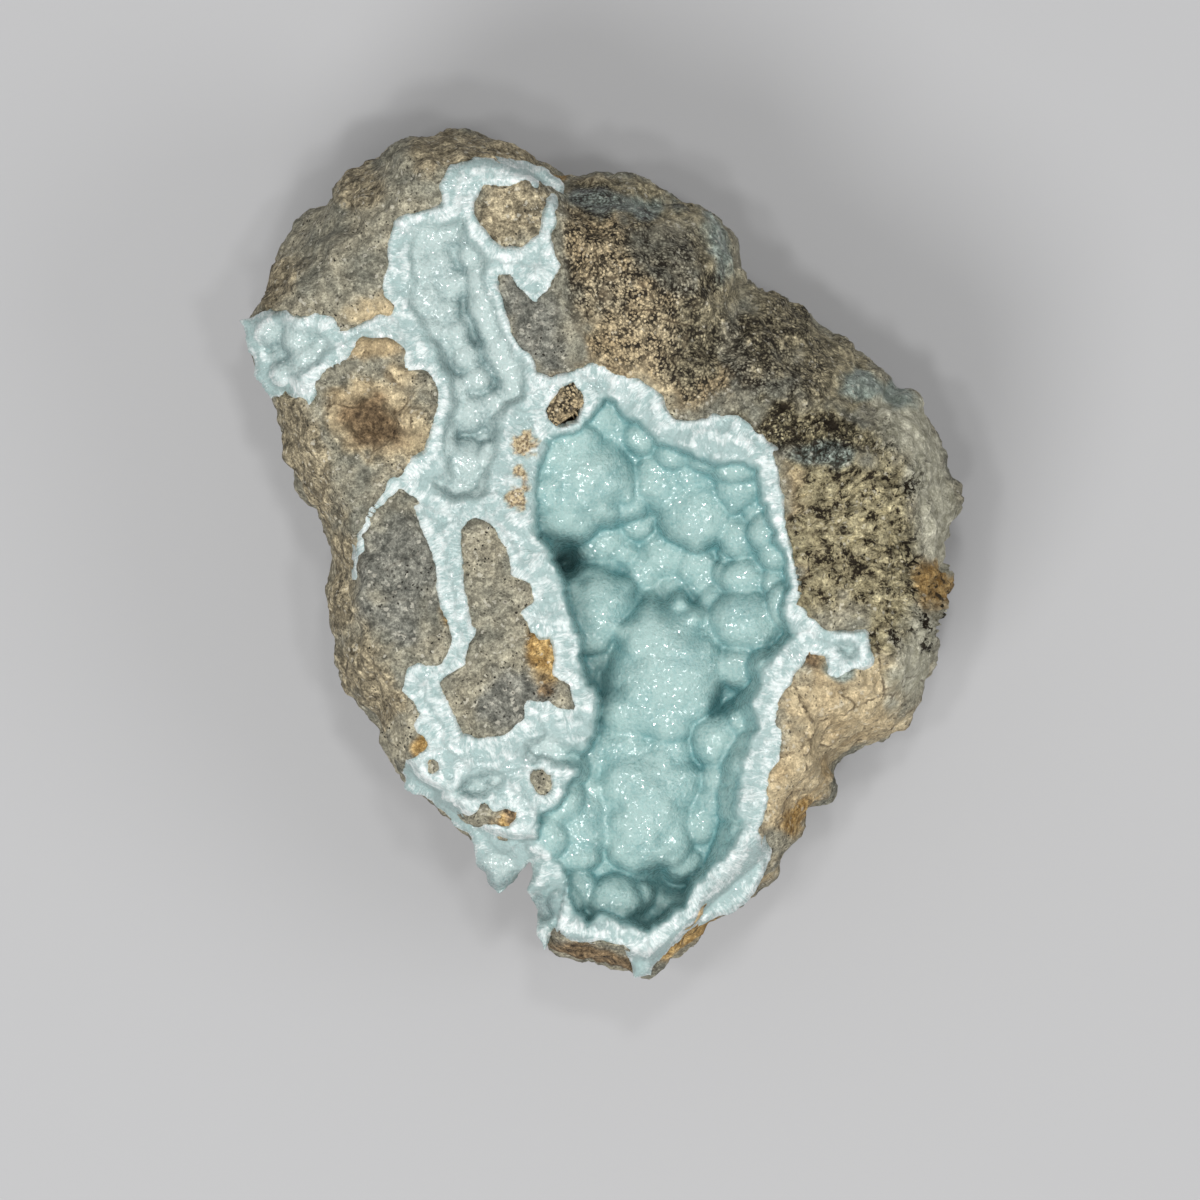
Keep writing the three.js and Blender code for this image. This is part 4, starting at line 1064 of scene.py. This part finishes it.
def crust_material(settings):
    """Translucent botryoidal crust: aqua lumps under tiny tilted facets, and a whiter fibrous broken edge."""
    material, tree, shader, place = material_in_mm("hemimorphite_crust")
    band, depth, crown = stored(tree, "band"), stored(tree, "depth"), stored(tree, "crown")
    along, across = stored(tree, "along"), stored(tree, "across")
    pale, hollow = stored(tree, "pallor"), stored(tree, "hollow")
    soft = speckle(tree, place, 0.28, 2, 0.5)
    cloud = speckle(tree, place, 0.9, 2, 0.6)
    sugar = speckle(tree, place, 3.0, 2, 0.7)

    # The lumps: painted light makes them paler where they face up, painted shade makes them darker in the creases and
    # at the back of the vug, and noise varies their tone at random
    swell = spread(tree, hollow, 0.6, -0.35)
    painted_light_and_tone = plus(tree, times(tree, spread(tree, crown, 0.2, 0.98), 0.65), times(tree, swell, 0.42))
    painted_light_and_tone = plus(tree, painted_light_and_tone, spread(tree, soft, 0.3, 0.7, -0.2, 0.2))
    painted_light_and_tone = plus(tree, painted_light_and_tone, spread(tree, sugar, 0.3, 0.7, -0.25, 0.25), clamp=True)
    lump = blend(tree, painted_light_and_tone, settings_colour(settings.lump_shade_and_tone), settings_colour(settings.lump_light_and_tone))
    lump = blend(tree, spread(tree, depth, 10, 17), lump, settings_colour(settings.deep_shade_colour))
    lump = blend(tree, pale, lump, blend(tree, painted_light_and_tone, *map(linear, MILKY_SHADE_AND_LIGHT_TONES)))

    # The broken edge: fibres that run across it
    ribs = {0: times(tree, along, 4.5), 1: across, 2: times(tree, cloud, 2.0)}
    fibre = speckle(tree, put(tree, "ShaderNodeCombineXYZ", ribs).outputs[0], 1.0, 3, 0.7)
    white = spread(tree, cloud, 0.38, 0.62, -0.25, 0.35)
    white = plus(tree, spread(tree, fibre, 0.4, 0.72, -0.1, 0.75), white)
    white = plus(tree, white, spread(tree, across, 0, 2.4, 0.3, -0.1))
    # Painted shade darkens the edge in its hollows, and painted light whitens it on its rises
    white = plus(tree, white, spread(tree, hollow, 0.16, -0.12, -0.6, 0.25), clamp=True)
    edge = blend(tree, white, settings_colour(settings.band_colour), settings_colour(settings.fibre_colour))
    stain = blend(tree, spread(tree, sugar, 0.4, 0.6), *map(linear, STAIN_TONES))
    colour = blend(tree, stored(tree, "stain"), blend(tree, band, lump, edge), stain)
    tree.links.new(colour, shader.inputs["Base Color"])

    # The facets: strongly tilted in the clear coat, weakly in the body under it
    facet = crystals(tree, place, 3.8).outputs["Color"]
    facet = vectors(tree, "SUBTRACT", facet, (0.5, 0.5, 0.5))
    druse = spread(tree, speckle(tree, place, 0.5, 2, 0.5), 0.36, 0.6, 0.55, 1.0)
    upright = put(tree, "ShaderNodeNewGeometry").outputs["Normal"]
    coat = vectors(tree, "ADD", upright, scaled(tree, facet, druse))
    tree.links.new(vectors(tree, "NORMALIZE", coat), shader.inputs["Coat Normal"])
    body = vectors(tree, "MULTIPLY_ADD", facet, (0.22, 0.22, 0.22), upright)
    body = vectors(tree, "NORMALIZE", body)
    relief = plus(tree, sugar, times(tree, fibre, band))
    bump = put(tree, "ShaderNodeBump", {"Strength": 0.5, "Distance": 0.0004, "Height": relief, "Normal": body})
    tree.links.new(bump.outputs[0], shader.inputs["Normal"])

    tree.links.new(spread(tree, band, 0, 1, 0.75, 0.3), shader.inputs["Coat Weight"])
    shader.subsurface_method = "BURLEY"
    for name, value in (
        ("Roughness", 0.6), ("Specular IOR Level", 0.2), ("Coat Roughness", 0.09), ("Coat IOR", 1.6),
        ("Subsurface Weight", 0.25), ("Subsurface Radius", (0.7, 1.2, 1.2)),
        ("Subsurface Scale", settings.glow_depth),
    ):
        shader.inputs[name].default_value = value
    return material


def settings_colour(colour):
    """A colour setting as a shader's four values."""
    return (*colour, 1.0)


# Settings and operators
class RockSettings(bpy.types.PropertyGroup):
    """The rock's skin."""

    swell: FloatProperty(
        name="Swell", description="Height of the broad swells of the skin, in millimetres", default=0.75, min=0)
    crumble: FloatProperty(
        name="Crumble", description="Height of the crumbs on the coarse patches, in millimetres", default=1.1, min=0)
    columns: IntProperty(name="Columns", description="Sections round the rock", default=800, min=60)
    rows: IntProperty(name="Rows", description="Rings from the vug to the back", default=120, min=30)


class CrustSettings(bpy.types.PropertyGroup):
    """The crust's grid and colours."""

    spacing: FloatProperty(
        name="Spacing", description="Distance between the points of the crust's grid, in millimetres",
        default=0.2, min=0.1)
    stand: FloatProperty(
        name="Stand", description="How far the broken edge stands over the rock, in millimetres", default=0.18)
    glow_depth: FloatProperty(
        name="Glow depth", description="How far light spreads under the surface", default=0.0005, unit="LENGTH")
    # The lumps run from the first colour to the second: painted shade on their sides and in creases, painted light
    # where they face up, mixed with random tone
    lump_shade_and_tone: FloatVectorProperty(
        name="Lump", description="Colour of the lumps", subtype="COLOR", default=linear((98, 147, 149))[:3])
    lump_light_and_tone: FloatVectorProperty(
        name="Pale lump", description="Colour of the paler lumps", subtype="COLOR",
        default=linear((159, 186, 182))[:3])
    # Painted shade: the colour the lumps darken to, the deeper they lie in the vug
    deep_shade_colour: FloatVectorProperty(
        name="Deep", description="Colour at the back of the vug", subtype="COLOR", default=linear((66, 94, 92))[:3])
    band_colour: FloatVectorProperty(
        name="Edge", description="Colour of the broken edge", subtype="COLOR", default=linear((158, 179, 177))[:3])
    fibre_colour: FloatVectorProperty(
        name="Fibre", description="Colour of the white fibres", subtype="COLOR", default=linear((226, 232, 230))[:3])


class StageSettings(bpy.types.PropertyGroup):
    """Floor, camera and lights."""

    floor_colour: FloatVectorProperty(
        name="Floor", description="Colour of the floor", subtype="COLOR", default=linear((174, 174, 175))[:3])
    camera_height: FloatProperty(
        name="Camera height", description="Height of the camera over the back", default=1.533, unit="LENGTH")
    key_power: FloatProperty(name="Key", description="Power of the large soft light", default=4.7, unit="POWER")
    spark_power: FloatProperty(name="Spark", description="Power of each small light", default=1.3, unit="POWER")
    fill_power: FloatProperty(
        name="Fill", description="Power of the soft light from the right", default=1.4, unit="POWER")
    ambient: FloatProperty(name="Ambient", description="Strength of the surrounding light", default=0.42)


class SPECIMEN_OT_rock(bpy.types.Operator):
    """Builds the rock: sections that run from the vug over the face, the shoulder and the flank to the flat back"""

    bl_idname = "specimen.rock"
    bl_label = "Rock"

    def execute(self, context):
        points, faces = closed_rings(rock_rings(context.scene.specimen_rock))
        piece = shell_mesh("rock", points, faces)
        for name in PATCHES:
            keep(piece, name, flank_patch(name, points))
        piece.data.materials.append(rock_material())
        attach(piece, "root")
        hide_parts("matrix")
        return {"FINISHED"}


class SPECIMEN_OT_crust(bpy.types.Operator):
    """Builds the crust: one height over every place of the hollows, closed by an underside a little way below"""

    bl_idname = "specimen.crust"
    bl_label = "Crust"

    def execute(self, context):
        settings = context.scene.specimen_crust
        piece, marks = crust_piece(settings)
        for name, values in marks.items():
            keep(piece, name, values)
        piece.data.materials.append(crust_material(settings))
        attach(piece, "root")
        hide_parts("hemimorphite_crust")
        return {"FINISHED"}


class SPECIMEN_OT_stage(bpy.types.Operator):
    """Sets the plain floor, the camera over the face and the soft lights"""

    bl_idname = "specimen.stage"
    bl_label = "Stage"

    def execute(self, context):
        settings = context.scene.specimen_stage
        mesh = bpy.data.meshes.new("floor")
        half = FLOOR_HALF
        mesh.from_pydata(
            [(-half, -half, 0), (half, -half, 0), (half, half, 0), (-half, half, 0)], [], [(0, 1, 2, 3)])
        floor = bpy.data.objects.new("floor", mesh)
        context.scene.collection.objects.link(floor)
        material = bpy.data.materials.new("plain_floor")
        material.use_nodes = True
        shader = material.node_tree.nodes["Principled BSDF"]
        shader.inputs["Base Color"].default_value = settings_colour(settings.floor_colour)
        shader.inputs["Roughness"].default_value = 0.9
        mesh.materials.append(material)

        data = bpy.data.cameras.new("camera")
        data.lens, data.sensor_width = 450, 36
        data.clip_end = 20
        camera = bpy.data.objects.new("camera", data)
        camera.location = (0, CAMERA_SHIFT, settings.camera_height)
        context.scene.collection.objects.link(camera)
        context.scene.camera = camera

        for name, where, size, power in (
            ("key", (-0.26, -0.42, 0.90), 0.4, settings.key_power),
            ("fill", (0.55, -0.10, 0.75), 0.4, settings.fill_power),
            ("spark_left", (-0.16, -0.04, 1.1), 0.06, settings.spark_power),
            ("spark_low", (-0.03, -0.17, 1.1), 0.06, settings.spark_power),
            ("spark_right", (0.13, -0.06, 1.1), 0.06, settings.spark_power),
            ("spark_high", (0.03, 0.15, 1.1), 0.06, settings.spark_power),
        ):
            lamp = bpy.data.lights.new(name, "AREA")
            lamp.shape, lamp.size, lamp.energy = "DISK", size, power
            light = bpy.data.objects.new(name, lamp)
            light.location = where
            aim = np.array(LIGHT_AIM) - np.array(where)
            light.rotation_euler = (
                math.acos(-aim[2] / np.linalg.norm(aim)), 0, math.atan2(aim[1], aim[0]) - math.pi / 2)
            light.visible_camera = False
            context.scene.collection.objects.link(light)

        world = bpy.data.worlds.new("soft_surround")
        world.use_nodes = True
        sky = world.node_tree.nodes["Background"]
        sky.inputs["Color"].default_value = (1, 1, 1, 1)
        sky.inputs["Strength"].default_value = settings.ambient
        context.scene.world = world
        context.scene.view_settings.view_transform = "Standard"
        return {"FINISHED"}


class SPECIMEN_PT_panel(bpy.types.Panel):
    """Lists the settings and the pieces"""

    bl_idname = "SPECIMEN_PT_panel"
    bl_label = "Hemimorphite specimen"
    bl_space_type = "VIEW_3D"
    bl_region_type = "UI"
    bl_category = "Specimen"

    def draw(self, context):
        scene = context.scene
        for group, operator in (
            (scene.specimen_rock, "specimen.rock"),
            (scene.specimen_crust, "specimen.crust"),
            (scene.specimen_stage, "specimen.stage"),
        ):
            box = self.layout.box()
            for name in group.__annotations__:
                box.prop(group, name)
            box.operator(operator)


CLASSES = (
    RockSettings, CrustSettings, StageSettings,
    SPECIMEN_OT_rock, SPECIMEN_OT_crust, SPECIMEN_OT_stage, SPECIMEN_PT_panel,
)


def register():
    for each in CLASSES:
        bpy.utils.register_class(each)
    bpy.types.Scene.specimen_rock = PointerProperty(type=RockSettings)
    bpy.types.Scene.specimen_crust = PointerProperty(type=CrustSettings)
    bpy.types.Scene.specimen_stage = PointerProperty(type=StageSettings)


def unregister():
    del bpy.types.Scene.specimen_rock, bpy.types.Scene.specimen_crust, bpy.types.Scene.specimen_stage
    for each in reversed(CLASSES):
        bpy.utils.unregister_class(each)


def main():
    register()
    bpy.ops.specimen.stage()
    bpy.ops.specimen.rock()
    bpy.ops.specimen.crust()


if __name__ == "__main__":
    main()
